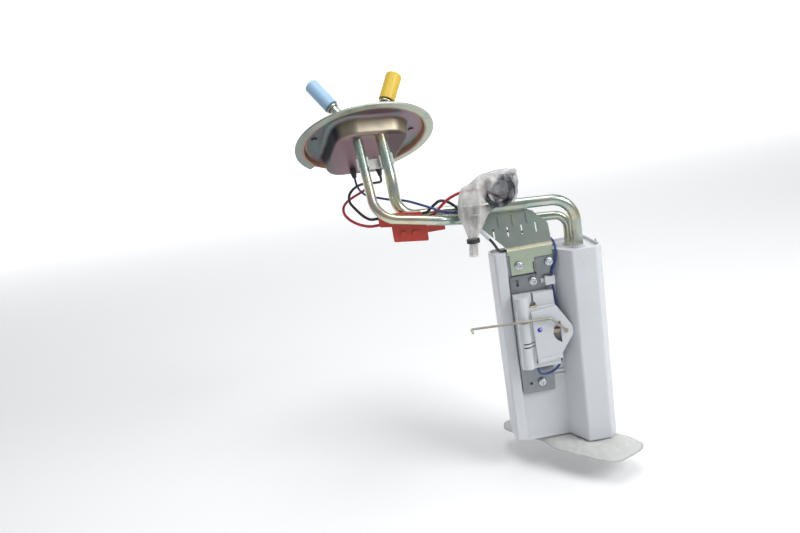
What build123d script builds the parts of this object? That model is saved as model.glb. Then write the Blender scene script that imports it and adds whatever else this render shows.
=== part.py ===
from build123d import *
import math
import os

# Fuel pump module for a vehicle tank, in millimetres.
# Origin: centre of the flange's underside, where it seats on the tank.
# +Z is up along the reservoir, +X runs from the flange towards the reservoir,
# and -Y is the side that carries the level sender.

# ---------------------------------------------------------------- flange
flange_radius = 63.5
flange_sheet = 1.5
flange_rim = 8.0
flange_step_height = 4.0
flange_tilt_back = 27.7
flange_lean_left = 3.7
pocket_width = 70.5
pocket_length = 84.0
pocket_depth = 12.0
pocket_corner = 20.0
pocket_wall_slope = 10.0
pocket_shift = 2.0
pocket_across = -1.2
pocket_turn = 18.0
pocket_floor_round = 3.5
pocket_mouth_round = 4.0
notch_width = 26.0
notch_depth = 8.0
notch_angle = 140.0
dimple_radius = 2.6
dimple_depth = 1.2

# ---------------------------------------------------------------- reservoir place
reach = 91.0
forward = 61.5
drop = 108.0

# ---------------------------------------------------------------- tubes
supply_diameter = 9.5
return_diameter = 8.0
tube_wall = 0.9
fitting_lean = 28.0
supply_root_x = 13.4
supply_root_y = -28.0
supply_fitting = 48.0
return_root_x = -6.6
return_root_y = -31.0
return_fitting = 56.0
fitting_bead = 1.4
bead_gap = 2.0
braze_gap = 0.02
hole_clearance = 0.15

# ---------------------------------------------------------------- transport caps
supply_cap_diameter = 14.0
supply_cap_length = 25.0
return_cap_diameter = 12.6
return_cap_length = 28.0
cap_clearance = 0.06
cap_end_gap = 1.0
cap_end_wall = 3.0

# ---------------------------------------------------------------- reservoir
panel_width = 50.0
panel_recess = 2.0
lip_width = 10.5
lip_forward = 1.0
bulge_x = 71.5
bulge_y = 1.5
bulge_radius = 18.0
facet_left = 10.1
facet_right = 10.5
facet_depth = 8.5
facet_round = 3.0
tank_back = 34.0
tank_wall = 1.8
tank_top = -4.0
tank_bottom = -178.0
cover_thickness = 3.5
cap_recess = 2.5
cap_thickness = 2.5
ledge_width = 1.5
fit_clearance = 0.15
boss_radius = 4.0
boss_depth = 12.0

# ---------------------------------------------------------------- screws
screw_diameter = 4.0
screw_length = 11.0
screw_head_diameter = 7.6
screw_head_height = 2.8
screw_clearance = 0.1

# ---------------------------------------------------------------- bracket and sender
bracket_sheet = 1.4
bracket_left = 13.0
bracket_right = 50.0
bracket_fold = 2.0
bracket_tab_drop = 23.0
bracket_lean = 14.0
sender_left = 10.8
sender_right = 40.0
sender_top = -22.4
sender_foot = -133.2
sender_sheet = 1.2
housing_right = 45.0
housing_top = -38.0
housing_bottom = -105.0
housing_front = 10.2
cover_plate = 2.8
column_radius = 6.2
pivot_x = 51.4
pivot_z = -74.0
pivot_clearance = 0.05
hub_radius = 3.0
arm_wire = 2.0
arm_front = 15.2

# ---------------------------------------------------------------- pump
pump_diameter = 30.0
pump_length = 100.0
pump_top = -62.0
pump_wall = 1.0
outlet_x = 73.5
outlet_y = 4.0
shaft_diameter = 3.2
armature_diameter = 20.0
magnet_inner = 22.0
commutator_from_top = 24.0
commutator_length = 8.0
commutator_diameter = 12.0
impeller_diameter = 26.0
impeller_thickness = 4.0
impeller_vanes = 24
hose_wall = 2.4

# ---------------------------------------------------------------- strainer
sock_length = 133.0
sock_width = 48.0
sock_height = 8.0
sock_turn = -41.0

# ---------------------------------------------------------------- leads
lead_diameter = 2.4
sleeve_gap = 0.06
sleeve_wall = 0.5
thin_lead_diameter = 2.0

# ---------------------------------------------------------------- shared places
supply_end = -30.0
nipple_top = -34.0
return_drop_x = 71.0
return_drop_y = 18.0
return_end = -12.0
lead_hole_x = 54.0
lead_hole_y = 18.0
lead_hole_radius = 4.0
lead_hole_small = 1.3
saddle_start = 0.0
saddle_length = 38.0
connector_left = -91.0
connector_split = -66.0
connector_right = -54.0
connector_front = 0.9
inlet_radius = 6.0
inlet_neck = 7.0
sock_gap = 2.0
terminal_places = ((-17.0, 25.0), (-5.0, 29.0), (7.0, 33.0))
terminal_radius = 1.2
terminal_seal_radius = 2.6
boot_length = 8.5
terminal_drop = 5.0
bracket_screws = ((19.9, -13.2), (45.4, -13.4))
sender_screws = ((30.4, -28.6), (28.6, -123.4))
cavity_left = 24.5
cavity_floor = -3.2
nose_back = -6.2
nose_floor = -7.2
bag_front = -24.0
bag_back = -4.5

# ---------------------------------------------------------------- line bends
supply_run_start = (-74.0, 12.5, 43.5)
supply_run_height = 36.0
supply_bend_depth = -50.0
return_bend_depth = -84.0
supply_bend_radii = (24.0, 38.0, 18.0, 20.0)
return_bend_radii = (24.0, 22.0, 26.0, 26.0, 60.0, 12.0)
dimple_places = ((-43.0, -19.0), (43.5, 4.0))

os.makedirs("parts", exist_ok=True)


def flange_plane():
    """Plane of the flange's underside, tilted back and leaning left."""
    tilt = math.radians(flange_tilt_back)
    lean = math.radians(flange_lean_left)
    normal = (
        -math.sin(lean),
        math.sin(tilt) * math.cos(lean),
        math.cos(tilt) * math.cos(lean),
    )
    return Plane(origin=(0, 0, 0), x_dir=(1, 0, 0), z_dir=normal)


flange = flange_plane()
tank = Pos(reach, -forward, -drop)


def on_flange(x, y, z):
    """A point given in the flange's own axes."""
    return flange.from_local_coords(Vector(x, y, z))


def in_tank(x, y, z):
    """A point given from the reservoir's upper left front corner."""
    return Vector(x + reach, y - forward, z - drop)


def save(shape, name):
    """Write one sub-part to its own file."""
    export_step(shape, f"parts/{name}.step")


def group(solids):
    """Separate solids kept together in one node."""
    return Compound(children=[s.solid() for s in solids])


def box(x0, x1, y0, y1, z0, z1):
    """A box from its two corners."""
    centre = Pos((x0 + x1) / 2, (y0 + y1) / 2, (z0 + z1) / 2)
    return centre * Box(x1 - x0, y1 - y0, z1 - z0)


def post(x, y, z0, z1, radius):
    """An upright cylinder between two heights."""
    return Pos(x, y, (z0 + z1) / 2) * Cylinder(radius, z1 - z0)


def peg(x, z, y0, y1, radius):
    """A cylinder along Y between two depths."""
    return Pos(x, (y0 + y1) / 2, z) * Rot(90, 0, 0) * Cylinder(radius, y1 - y0)


def ring(x, y, z0, z1, outer, inner):
    """An upright tube between two heights."""
    return post(x, y, z0, z1, outer) - post(x, y, z0 - 1, z1 + 1, inner)


def front_face(points):
    """A face in the XZ plane from (x, z) points."""
    wire = Polyline([(x, 0, z) for x, z in points], close=True)
    return make_face(wire)


def slab(points, y0, y1):
    """A plate with an XZ outline, between two depths."""
    solid = extrude(front_face(points), amount=y1 - y0, dir=(0, 1, 0))
    return Pos(0, y0, 0) * solid


def bent_path(points, radii):
    """Straight runs joined by tangent arcs."""
    return FilletPolyline(*points, radius=radii)


def rod(path, radius):
    """A round bar along a path."""
    start = Plane(origin=path @ 0, z_dir=path % 0)
    return sweep(start * Circle(radius), path=path)


def pipe(path, outer, inner):
    """A round tube along a path."""
    start = Plane(origin=path @ 0, z_dir=path % 0)
    return sweep(start * (Circle(outer) - Circle(inner)), path=path)


def lead(points, diameter, name):
    """A covered wire along hand-set points, with arcs as large as its runs allow."""
    corners = [Vector(p) for p in points]
    radii = []
    for before, here, after in zip(corners, corners[1:], corners[2:]):
        first = here - before
        second = after - here
        turn = math.radians(first.get_angle(second))
        shorter = min(first.length, second.length)
        radii.append(0.45 * shorter / math.tan(turn / 2))
    path = bent_path(corners, radii)
    solid = rod(path, diameter / 2)
    ideal = math.pi * diameter**2 / 4 * path.length
    print(f"{name}: length {path.length:.1f}, radii {[round(r, 1) for r in radii]}, "
          f"volume ratio {solid.volume / ideal:.4f}")
    return solid


# ================================================================ flange and tubes


def fitting_end(root_x, root_y, length, side):
    """Where a splayed fitting ends above the flange."""
    lean = math.radians(fitting_lean)
    start = -pocket_depth + 8
    return on_flange(root_x + side * math.sin(lean) * length, root_y, start + math.cos(lean) * length)


def supply_path():
    """Feed line: fitting, flange, bend, run, and down on to the pump."""
    bend = -pocket_depth + 8
    points = [
        fitting_end(supply_root_x, supply_root_y, supply_fitting, 1),
        on_flange(supply_root_x, supply_root_y, bend),
        on_flange(supply_root_x, supply_root_y, supply_bend_depth),
        in_tank(*supply_run_start),
        in_tank(outlet_x, outlet_y, supply_run_height),
        in_tank(outlet_x, outlet_y, supply_end),
    ]
    return bent_path(points, supply_bend_radii)


def return_path():
    """Return line: fitting, flange, long slope, run behind the bracket, reservoir."""
    bend = -pocket_depth + 8
    points = [
        fitting_end(return_root_x, return_root_y, return_fitting, -1),
        on_flange(return_root_x, return_root_y, bend),
        on_flange(return_root_x, return_root_y, return_bend_depth),
        in_tank(-36, -4, 36.5),
        in_tank(-4, 13.5, 29),
        in_tank(43, 18, 22),
        in_tank(return_drop_x, return_drop_y, 20),
        in_tank(return_drop_x, return_drop_y, return_end),
    ]
    return bent_path(points, return_bend_radii)


def bead(path, from_end, radius):
    """A rounded bead rolled into a fitting, behind its cap."""
    place = Plane(origin=path.position_at(from_end, position_mode=PositionMode.LENGTH),
                  z_dir=path % 0)
    return place * Torus(radius, fitting_bead)


def cap_reach(length):
    """How far a cap covers its fitting."""
    return length - cap_end_wall - cap_end_gap


def line_tube(path, diameter, cap_length):
    """A steel line with its bead."""
    outer = diameter / 2
    solid = pipe(path, outer, outer - tube_wall)
    ring_bead = bead(path, cap_reach(cap_length) + bead_gap, outer)
    bore = rod(path, outer - tube_wall)
    return solid + (ring_bead - bore)


def pocket_solid(inset, depth):
    """The pressed pocket's shape, with sloping walls."""
    face = RectangleRounded(pocket_width - 2 * inset, pocket_length - 2 * inset, pocket_corner - inset)
    height = flange_step_height + flange_sheet
    top = Rot(0, 0, pocket_turn) * Pos(pocket_across, pocket_shift, height) * face
    return extrude(top, amount=-(depth + flange_step_height + flange_sheet), taper=pocket_wall_slope)


def flange_plate():
    """Pressed steel disc: flat rim, raised centre, sunk pocket, notch and dimples."""
    inner = flange_radius - flange_rim
    lift = flange_step_height
    sheet = flange_sheet
    profile = Polyline(
        (0, lift),
        (inner - lift / 2, lift),
        (inner, 0),
        (flange_radius, 0),
        (flange_radius, sheet),
        (inner - sheet / 2, sheet),
        (inner - lift / 2 - sheet / 2, lift + sheet),
        (0, lift + sheet),
        close=True,
    )
    section = Plane.XZ * make_face(profile)
    disc = revolve(section, axis=Axis.Z)
    disc = fillet(disc.edges().filter_by(GeomType.CIRCLE).filter_by(
        lambda e: abs(e.radius - inner) < 0.1), radius=1.0)
    outer_pocket = pocket_solid(0, pocket_depth)
    floor_edges = outer_pocket.faces().sort_by(Axis.Z)[0].edges()
    outer_pocket = fillet(floor_edges, radius=pocket_floor_round)
    hollow = pocket_solid(sheet, pocket_depth - sheet)
    hollow_edges = hollow.faces().sort_by(Axis.Z)[0].edges()
    hollow = fillet(hollow_edges, radius=pocket_floor_round - sheet)
    plate = disc + outer_pocket
    mouth = plate.edges().filter_by(lambda e: abs(e.center().Z - lift) < 0.01
                                    and e.center().to_tuple()[0] ** 2 + e.center().to_tuple()[1] ** 2 < 48 ** 2
                                    and e.length < 75)
    plate = fillet(mouth, radius=pocket_mouth_round) - hollow
    notch = Rot(0, 0, notch_angle) * Pos(flange_radius, 0, 0) * Box(2 * notch_depth, notch_width, 9)
    plate -= notch
    for x, y in dimple_places:
        plate += Pos(x, y, lift - dimple_depth / 2) * Cylinder(dimple_radius, dimple_depth)
    for x, y, diameter in ((supply_root_x, supply_root_y, supply_diameter),
                           (return_root_x, return_root_y, return_diameter)):
        plate -= Pos(x, y, -pocket_depth) * Cylinder(diameter / 2 + braze_gap, 12)
    for x, y in terminal_places:
        plate -= Pos(x, y, -pocket_depth) * Cylinder(terminal_seal_radius, 12)
    return flange.location * plate


def bulkhead():
    """Moulded connector shroud in the pocket, with a stem through each floor hole."""
    top = flange_step_height + 4
    floor = -pocket_depth + flange_sheet
    (x0, y0), (x1, y1) = terminal_places[0], terminal_places[-1]
    turn = math.degrees(math.atan2(y1 - y0, x1 - x0))
    place = Pos((x0 + x1) / 2, (y0 + y1) / 2, 0) * Rot(0, 0, turn)
    height = top - floor
    body = place * Pos(0, 0, floor + height / 2) * extrude_centre(38, 13, 6, height)
    socket = place * Pos(0, 0, floor + 6 + height / 2) * extrude_centre(35, 10, 4.5, height)
    solid = body - socket
    for x, y in terminal_places:
        solid += post(x, y, -pocket_depth - 1, floor + 1, terminal_seal_radius - 0.05)
        solid -= Pos(x, y, 0) * Cylinder(terminal_radius + 0.02, 60)
    return flange.location * solid


def extrude_centre(width, length, corner, height):
    """An upright rounded block about its own centre."""
    return extrude(RectangleRounded(width, length, corner), amount=height / 2, both=True)


def terminals():
    """Round blades through the connector."""
    pins = []
    for x, y in terminal_places:
        low = -pocket_depth - terminal_drop
        high = flange_step_height
        pins.append(flange.location * post(x, y, low, high, terminal_radius))
    return group(pins)


def lead_boots():
    """Rubber boots over the terminals below the floor."""
    boots = []
    for x, y in terminal_places:
        top = -pocket_depth - 1.05
        low = -pocket_depth - boot_length
        cone = Pos(x, y, (low + top) / 2) * Cone(1.9, 3.3, top - low)
        hollow = post(x, y, -pocket_depth - terminal_drop - 0.1, top + 1, terminal_radius + 0.02)
        boots.append(flange.location * (cone - hollow))
    return group(boots)


def tube_brace():
    """Folded strap brazed across both lines under the flange."""
    depth = -pocket_depth - 26
    height = 9.0
    sheet = 1.2
    solid = None
    for x, y, diameter in ((supply_root_x, supply_root_y, supply_diameter),
                           (return_root_x, return_root_y, return_diameter)):
        radius = diameter / 2 + braze_gap
        collar = ring(x, y, depth, depth + height, radius + sheet, radius)
        collar -= box(x - 20, x + 20, y - 20, y - radius * 0.35, depth - 1, depth + height + 1)
        solid = collar if solid is None else solid + collar
    supply_back = supply_root_y + supply_diameter / 2 + 0.1
    return_back = return_root_y + return_diameter / 2 + 0.1
    strip = make_face(Polyline(
        (return_root_x, return_back),
        (supply_root_x, supply_back),
        (supply_root_x, supply_back + sheet - 0.1),
        (return_root_x, return_back + sheet - 0.1),
        close=True,
    ))
    web = lift(strip, depth, depth + height)
    for x, y, diameter in ((supply_root_x, supply_root_y, supply_diameter),
                           (return_root_x, return_root_y, return_diameter)):
        web -= post(x, y, depth - 1, depth + height + 1, diameter / 2 + braze_gap)
    return flange.location * (solid + web)


def transport_cap(path, diameter, cap_diameter, length):
    """A moulded push-on cap over the end of a fitting."""
    start = path @ 0
    direction = path % 0
    mouth = Plane(origin=start, z_dir=-direction)
    reach_down = cap_reach(length)
    body = post(0, 0, -reach_down, length - reach_down, cap_diameter / 2)
    body = fillet(body.edges().sort_by(Axis.Z)[-1], radius=1.2)
    bore = post(0, 0, -reach_down - 1, cap_end_gap, diameter / 2 + cap_clearance)
    return mouth.location * (body - bore)


# ================================================================ reservoir


def tank_outline():
    """Plan of the reservoir: flat panel, then the pump's bulge in rounded facets."""
    front = bulge_y - bulge_radius
    right = bulge_x + bulge_radius
    body = make_face(Polyline(
        (0, panel_recess),
        (panel_width, panel_recess),
        (bulge_x - facet_left, front),
        (bulge_x + facet_right, front),
        (right, front + facet_depth),
        (right, tank_back),
        (0, tank_back),
        close=True,
    ))
    back_corners = body.vertices().filter_by(lambda v: v.Y > tank_back - 0.1)
    body = fillet(back_corners, radius=8)
    bulge_corners = body.vertices().filter_by(lambda v: v.Y < front + facet_depth + 0.1)
    return fillet(bulge_corners, radius=facet_round)


def lift(face, z0, z1):
    """Extrude a plan between two heights."""
    return extrude(Pos(0, 0, z0) * face, amount=z1 - z0)


def reservoir_shell():
    """Tall open case with a ledge for its cap, a front lip, bosses and ribs."""
    outline = tank_outline()
    inside = offset(outline, amount=-tank_wall, kind=Kind.INTERSECTION)
    ledge = offset(inside, amount=-ledge_width, kind=Kind.INTERSECTION)
    solid = lift(outline, tank_bottom, tank_top) - lift(inside, tank_bottom - 1, tank_top + 1)
    ledge_top = tank_top - cap_recess - cap_thickness
    solid += lift(inside, ledge_top - 3, ledge_top) - lift(ledge, ledge_top - 4, ledge_top + 1)
    lip = box(0, lip_width, -lip_forward, panel_recess + 0.5, tank_bottom, 0)
    lip = fillet(lip.edges().filter_by(Axis.Z).group_by(Axis.Y)[0], radius=2.0)
    solid += lip
    for x, z in (bracket_screws + sender_screws):
        solid += peg(x, z, 0, boss_depth, boss_radius)
        solid -= peg(x, z, -1, boss_depth - 1.5, screw_diameter / 2 + screw_clearance)
    for z in (-117.0, -121.0):
        solid += box(sender_right + 0.8, panel_width, 0.8, panel_recess + 0.2, z, z + 1.4)
    solid += post(bulge_x + bulge_radius - tank_wall / 2, bulge_y, tank_top - 1, tank_top + 2.2, 0.8)
    right = bulge_x + bulge_radius
    solid -= box(right - 4, right + 1, 6, 9, -95, -82)
    for x, z, y in ((4.2, -15, -lip_forward), (bulge_x, -16, bulge_y - bulge_radius)):
        solid += box(x - 1.6, x + 1.6, y - 0.25, y + 1.0, z - 2, z + 2)
    return tank * solid


def reservoir_cap():
    """Inset lid with holes for both lines and the pump leads."""
    inside = offset(tank_outline(), amount=-tank_wall, kind=Kind.INTERSECTION)
    plan = offset(inside, amount=-fit_clearance, kind=Kind.INTERSECTION)
    top = tank_top - cap_recess
    solid = lift(plan, top - cap_thickness, top)
    for x, y, radius in ((outlet_x, outlet_y, supply_diameter / 2 + hole_clearance),
                         (return_drop_x, return_drop_y, return_diameter / 2 + hole_clearance),
                         (lead_hole_x, lead_hole_y, lead_hole_radius)):
        collar = post(x, y, top - 0.5, top + 1.5, radius + 1.6)
        solid += collar
        solid -= post(x, y, top - 10, top + 10, radius)
    return tank * solid


def reservoir_base():
    """Bottom cover with a spigot, a cup for the pump and the inlet hole."""
    outline = tank_outline()
    inside = offset(outline, amount=-tank_wall, kind=Kind.INTERSECTION)
    plug = offset(inside, amount=-fit_clearance, kind=Kind.INTERSECTION)
    hollow = offset(plug, amount=-tank_wall, kind=Kind.INTERSECTION)
    low = tank_bottom - cover_thickness
    solid = lift(outline, low, tank_bottom)
    solid += lift(plug, tank_bottom - 0.1, tank_bottom + 4) - lift(hollow, tank_bottom, tank_bottom + 5)
    pump_low = pump_top - pump_length
    cup_inner = pump_diameter / 2 + fit_clearance
    cup = ring(bulge_x, bulge_y, tank_bottom - 0.1, pump_low + 6, cup_inner + 0.9, cup_inner)
    rest = ring(bulge_x, bulge_y, tank_bottom - 0.1, pump_low, cup_inner + 0.9, cup_inner - 3)
    solid += cup + rest
    solid -= post(bulge_x, bulge_y, low - 1, tank_bottom + 1, inlet_radius + 1.6)
    return tank * solid


# ================================================================ pump


def pump_case():
    """Rolled steel can around the motor."""
    return tank * ring(bulge_x, bulge_y, pump_top - pump_length, pump_top,
                       pump_diameter / 2, pump_diameter / 2 - pump_wall)


def pump_inlet_cover():
    """Bottom housing with the inlet neck and the shaft's lower bearing."""
    low = pump_top - pump_length
    radius = pump_diameter / 2 - pump_wall - braze_gap
    solid = post(bulge_x, bulge_y, low, low + 10, radius)
    neck_end = tank_bottom - cover_thickness - inlet_neck
    solid += post(bulge_x, bulge_y, neck_end, low + 1, inlet_radius)
    solid -= post(bulge_x, bulge_y, neck_end - 1, low + 4, inlet_radius - 1.5)
    solid -= post(bulge_x, bulge_y, low + 5.5, low + 11, shaft_diameter / 2 + pivot_clearance)
    solid -= box(bulge_x + 7, bulge_x + 10, bulge_y - 2, bulge_y + 2, low - 1, low + 11)
    return tank * solid


def pump_outlet_cover():
    """Top housing with the outlet nipple, terminals and upper bearing."""
    radius = pump_diameter / 2 - pump_wall - braze_gap
    solid = post(bulge_x, bulge_y, pump_top - 8, pump_top + 3, radius)
    solid += post(outlet_x, outlet_y, pump_top, nipple_top, supply_diameter / 2)
    solid -= post(outlet_x, outlet_y, pump_top - 3, nipple_top + 1, supply_diameter / 2 - 1.6)
    solid -= post(outlet_x, outlet_y, pump_top - 9, nipple_top, 1.6)
    solid -= post(bulge_x, bulge_y, pump_top - 9, pump_top - 3, shaft_diameter / 2 + pivot_clearance)
    return tank * solid


def pump_magnets():
    """Two ceramic field segments against the can."""
    low = pump_top - pump_length + 18
    top = pump_top - 20
    outer = pump_diameter / 2 - pump_wall - braze_gap
    segments = []
    for side in (-1, 1):
        arc = ring(bulge_x, bulge_y, low, top, outer, magnet_inner / 2)
        keep = box(bulge_x - 20, bulge_x + 20, bulge_y + min(4 * side, 20 * side),
                   bulge_y + max(4 * side, 20 * side), low, top)
        segments.append(tank * (arc & keep))
    return group(segments)


def pump_armature():
    """Wound core, commutator and shaft in one rotor."""
    low = pump_top - pump_length
    top = pump_top - commutator_from_top
    core = post(bulge_x, bulge_y, low + 24, top, armature_diameter / 2)
    for slot in range(8):
        cut = Rot(0, 0, slot * 45) * Pos(armature_diameter / 2, 0, 0) * Box(3, 1.2, 2 * pump_length)
        core -= Pos(bulge_x, bulge_y, low + pump_length / 2) * cut
    solid = core + post(bulge_x, bulge_y, top, top + commutator_length, commutator_diameter / 2)
    return tank * (solid + post(bulge_x, bulge_y, low + 6, pump_top - 3.5, shaft_diameter / 2))


def pump_brushes():
    """Two carbon brushes on the commutator."""
    low = pump_top - commutator_from_top + 1
    blocks = []
    for side in (-1, 1):
        start = bulge_x + side * 6.1
        end = bulge_x + side * (pump_diameter / 2 - pump_wall - 0.3)
        blocks.append(tank * box(min(start, end), max(start, end), bulge_y - 2, bulge_y + 2, low, low + 6))
    return group(blocks)


def pump_impeller():
    """Vaned turbine disc on the shaft."""
    low = pump_top - pump_length + 11
    disc = post(bulge_x, bulge_y, low, low + impeller_thickness, impeller_diameter / 2)
    disc -= post(bulge_x, bulge_y, low - 1, low + 9, shaft_diameter / 2 + braze_gap)
    for vane in range(impeller_vanes):
        turn = Rot(0, 0, vane * 360 / impeller_vanes)
        cut = turn * Pos(impeller_diameter / 2, 0, 0) * Box(4.4, 1.5, 20)
        disc -= Pos(bulge_x, bulge_y, low) * cut
    return tank * disc


def isolator_rings():
    """Rubber rings that keep the pump's noise off the reservoir."""
    bands = []
    inner = pump_diameter / 2 + 0.03
    outer = bulge_radius - tank_wall - 0.1
    for z in (pump_top - 14, pump_top - pump_length + 10):
        bands.append(tank * ring(bulge_x, bulge_y, z, z + 8, outer, inner))
    return group(bands)


def check_ball():
    """Ball that holds pressure in the outlet."""
    return tank * Pos(outlet_x, outlet_y, pump_top - 0.3) * Sphere(supply_diameter / 2 - 1.7)


def coupling_hose():
    """Rubber hose from the pump's nipple to the feed line."""
    inner = supply_diameter / 2 + 0.03
    return tank * ring(outlet_x, outlet_y, pump_top + 4, supply_end + 16, inner + hose_wall, inner)


def hose_clamps():
    """Crimped band clamps, each with its ear."""
    inner = supply_diameter / 2 + 0.03 + hose_wall + 0.03
    bands = []
    for z in (pump_top + 7, supply_end + 5):
        band = ring(outlet_x, outlet_y, z, z + 7, inner + 0.8, inner)
        ear = box(outlet_x - 2, outlet_x + 2, outlet_y - inner - 2.6, outlet_y - inner - 0.4, z, z + 7)
        bands.append(tank * (band + ear))
    return group(bands)


# ================================================================ bracket and sender


def screw(x, z, seat):
    """Pan-head cross-recess screw along Y, its head's underside on the seat."""
    head = peg(x, z, seat - screw_head_height, seat, screw_head_diameter / 2)
    front = head.faces().sort_by(Axis.Y)[0].edges()
    head = fillet(front, radius=1.7)
    shank = peg(x, z, seat - 0.1, seat + screw_length, screw_diameter / 2)
    solid = head + shank
    for turn in (0, 90):
        slot = Pos(x, seat - screw_head_height, z) * Rot(0, turn, 0) * Box(4.2, 2.4, 0.9)
        solid -= slot
    return tank * solid


def bracket_plate_outline():
    """Upper plate's outline, measured along and up its own face."""
    return [(bracket_left, -0.7), (bracket_right, -0.7), (49.6, 16), (48, 20), (41.5, 24.5),
            (38.8, 29), (34, 31.2), (-4, 33.2), (-7, 22)]


def hanger_bracket():
    """Sheet bracket: screwed tab, leaning ribbed plate and a saddle on the feed line."""
    sheet = bracket_sheet
    left = bracket_left
    bottom = bracket_fold - bracket_tab_drop
    half = (left + bracket_right) / 2 + 1
    tab = box(left, bracket_right, -sheet, 0, bottom, bracket_fold)
    for x, z in bracket_screws:
        tab -= peg(x, z, -5, 5, screw_diameter / 2 + 0.25)
    ear = box(left - 1.6, left, -sheet, 5, bracket_fold - 5, bracket_fold + 0.6)
    plate = slab(bracket_plate_outline(), -sheet, 0)
    for x in (3.0, 15.0, 27.0, 39.0):
        plate -= box(x - 0.6, x + 0.6, -5, 5, 11, 19)
    for x in (9.0, 21.0, 33.0):
        rib = box(x - 1.0, x + 1.0, -sheet - 0.8, -sheet / 2, 20, 29)
        plate += rib
    lean = Pos(0, 0, bracket_fold) * Rot(-bracket_lean, 0, 0)
    solid = tab + ear + lean * plate
    notch = box(half - 0.55, half + 0.55, -5, 5, bottom - 1, bottom + 9.2)
    solid -= notch
    solid = tank * solid
    run_start = in_tank(*supply_run_start)
    run_end = in_tank(outlet_x, outlet_y, supply_run_height)
    along = (run_end - run_start).normalized()
    foot = run_start + along * (70 + saddle_start)
    place = Plane(origin=foot, x_dir=(0, 1, 0), z_dir=along)
    inner = supply_diameter / 2 + braze_gap
    cradle = Circle(inner + 1.2) - Circle(inner)
    upward = place.to_local_coords(foot + Vector(0, 0, 1))
    cut_side = 1 if upward.Y > 0 else -1
    cradle -= Pos(0, cut_side * 10) * Rectangle(30, 20)
    saddle = extrude(place * cradle, amount=saddle_length, dir=along)
    return solid + saddle


def sender_plate():
    """Sheet carrier with an upper ear, a joggle and a screwed foot."""
    sheet = sender_sheet
    plate = box(sender_left, sender_right, -sheet, 0, sender_foot, sender_top)
    corners = plate.edges().filter_by(Axis.Y)
    plate = fillet(corners, radius=2.0)
    ear_x, ear_z = bracket_screws[1]
    front = -bracket_sheet - sheet
    ear = box(ear_x - 11.5, ear_x + 4.2, front - 0.02, -bracket_sheet - 0.02, sender_top - 1.4, ear_z + 5)
    step = box(ear_x - 11.5, ear_x - 5.4, front - 0.02, 0, sender_top - 1.4, sender_top - 0.1)
    plate += ear + step
    plate -= peg(ear_x, ear_z, -9, 9, screw_diameter / 2 + 0.25)
    for x, z in sender_screws:
        plate -= peg(x, z, -5, 5, screw_diameter / 2 + 0.25)
    plate -= peg(sender_left + 8, sender_foot + 9.5, -5, 5, 1.3)
    slot = box(sender_left + 5.2, sender_left + 7.2, -5, 5, sender_screws[0][1] - 3, sender_screws[0][1] + 3)
    plate -= slot
    return tank * plate


def sender_housing():
    """Moulded case with a rounded column, a keyhole, slots and a pivot nose."""
    back = -sender_sheet - 0.02
    front = -housing_front
    body = box(sender_left, housing_right, front, back, housing_bottom, housing_top - 12)
    shelf = box(sender_left, housing_right, -7.2, back, housing_top - 13, housing_top)
    column_x = sender_left + column_radius
    column = post(column_x, -6.4, housing_bottom, housing_top - 1.5, column_radius)
    column &= box(0, 60, -30, back, -200, 0)
    nose = slab([(44, -53), (housing_right + 1, -53), (pivot_x + 2.4, pivot_z + 3),
                 (pivot_x + 2.4, pivot_z - 3), (housing_right + 1, -93), (44, -93)], front, nose_back)
    solid = body + shelf + column + nose
    cavity = box(cavity_left, housing_right - 1.8, front - 1, cavity_floor, -95.5, -54.5)
    throat = slab([(42, -58), (44, -58), (pivot_x, pivot_z + 4), (pivot_x, pivot_z - 4),
                   (44, -90), (42, -90)], front - 1, nose_floor)
    hub_room = peg(pivot_x, pivot_z, front - 1, nose_floor, hub_radius + 0.4)
    solid -= cavity + throat + hub_room
    solid -= peg(26.6, -47.6, -12, back - 1.2, 2.6)
    solid -= box(25.6, 27.6, -12, back - 1.2, -47, housing_top + 1)
    for z, width in ((-62.0, 9.0), (-81.5, 10.5), (-84.8, 10.5)):
        solid -= box(column_x - 3.2, column_x - 3.2 + width, -14, -column_radius - 4.6, z, z + 1.1)
    solid -= peg(25.0, -99.8, -12, back - 3, lead_hole_small)
    return tank * solid


def cover_outline():
    """Front cover's outline with its pointed nose."""
    return [(23.4, -53.2), (45.4, -50.7), (57.4, -70.8), (57.4, -77.6), (46.5, -93.5),
            (46.5, -98.4), (24.6, -101.0)]


def sender_cover():
    """Snap-on cover over the resistor, with a half-round window and a pivot hole."""
    front = -housing_front - cover_plate
    solid = slab(cover_outline(), front, -housing_front - 0.02)
    tip = solid.edges().filter_by(Axis.Y).sort_by(Axis.X)[-2:]
    solid = fillet(tip, radius=3.2)
    window = peg(pivot_x, pivot_z, -30, 0, 11) & box(40.0, pivot_x - 4.2, -40, 10, -90, -60)
    solid -= window
    solid -= peg(pivot_x, pivot_z, -30, 0, hub_radius - 0.7 + pivot_clearance)
    rim = slab([(24.6, -96.0), (45.6, -94.0), (45.6, -97.6), (25.0, -99.9)], front - 0.6, front + 0.5)
    return tank * (solid + rim)


def resistor_card():
    """Ceramic card with the level tracks, flat on the cavity floor."""
    return tank * box(cavity_left + 1, 42, cavity_floor - 1.0, cavity_floor, -94.5, -55.5)


def wiper_rotor():
    """Moulded hub that turns on the arm's end and carries the wiper."""
    y0 = -housing_front + 0.3
    y1 = y0 + 2.2
    hub = peg(pivot_x, pivot_z, y0, nose_floor - 0.3, hub_radius)
    journal = peg(pivot_x, pivot_z, -housing_front - cover_plate + 0.3, y0 + 0.1, hub_radius - 0.7)
    arm = slab([(pivot_x - 1, pivot_z + 1.7), (33.5, pivot_z + 1.4), (33.5, pivot_z - 1.4),
                (pivot_x - 1, pivot_z - 1.7)], y0, y1)
    solid = hub + journal + arm
    solid -= peg(pivot_x, pivot_z, -30, nose_floor - 1.2, arm_wire / 2 + braze_gap)
    return tank * solid


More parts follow.
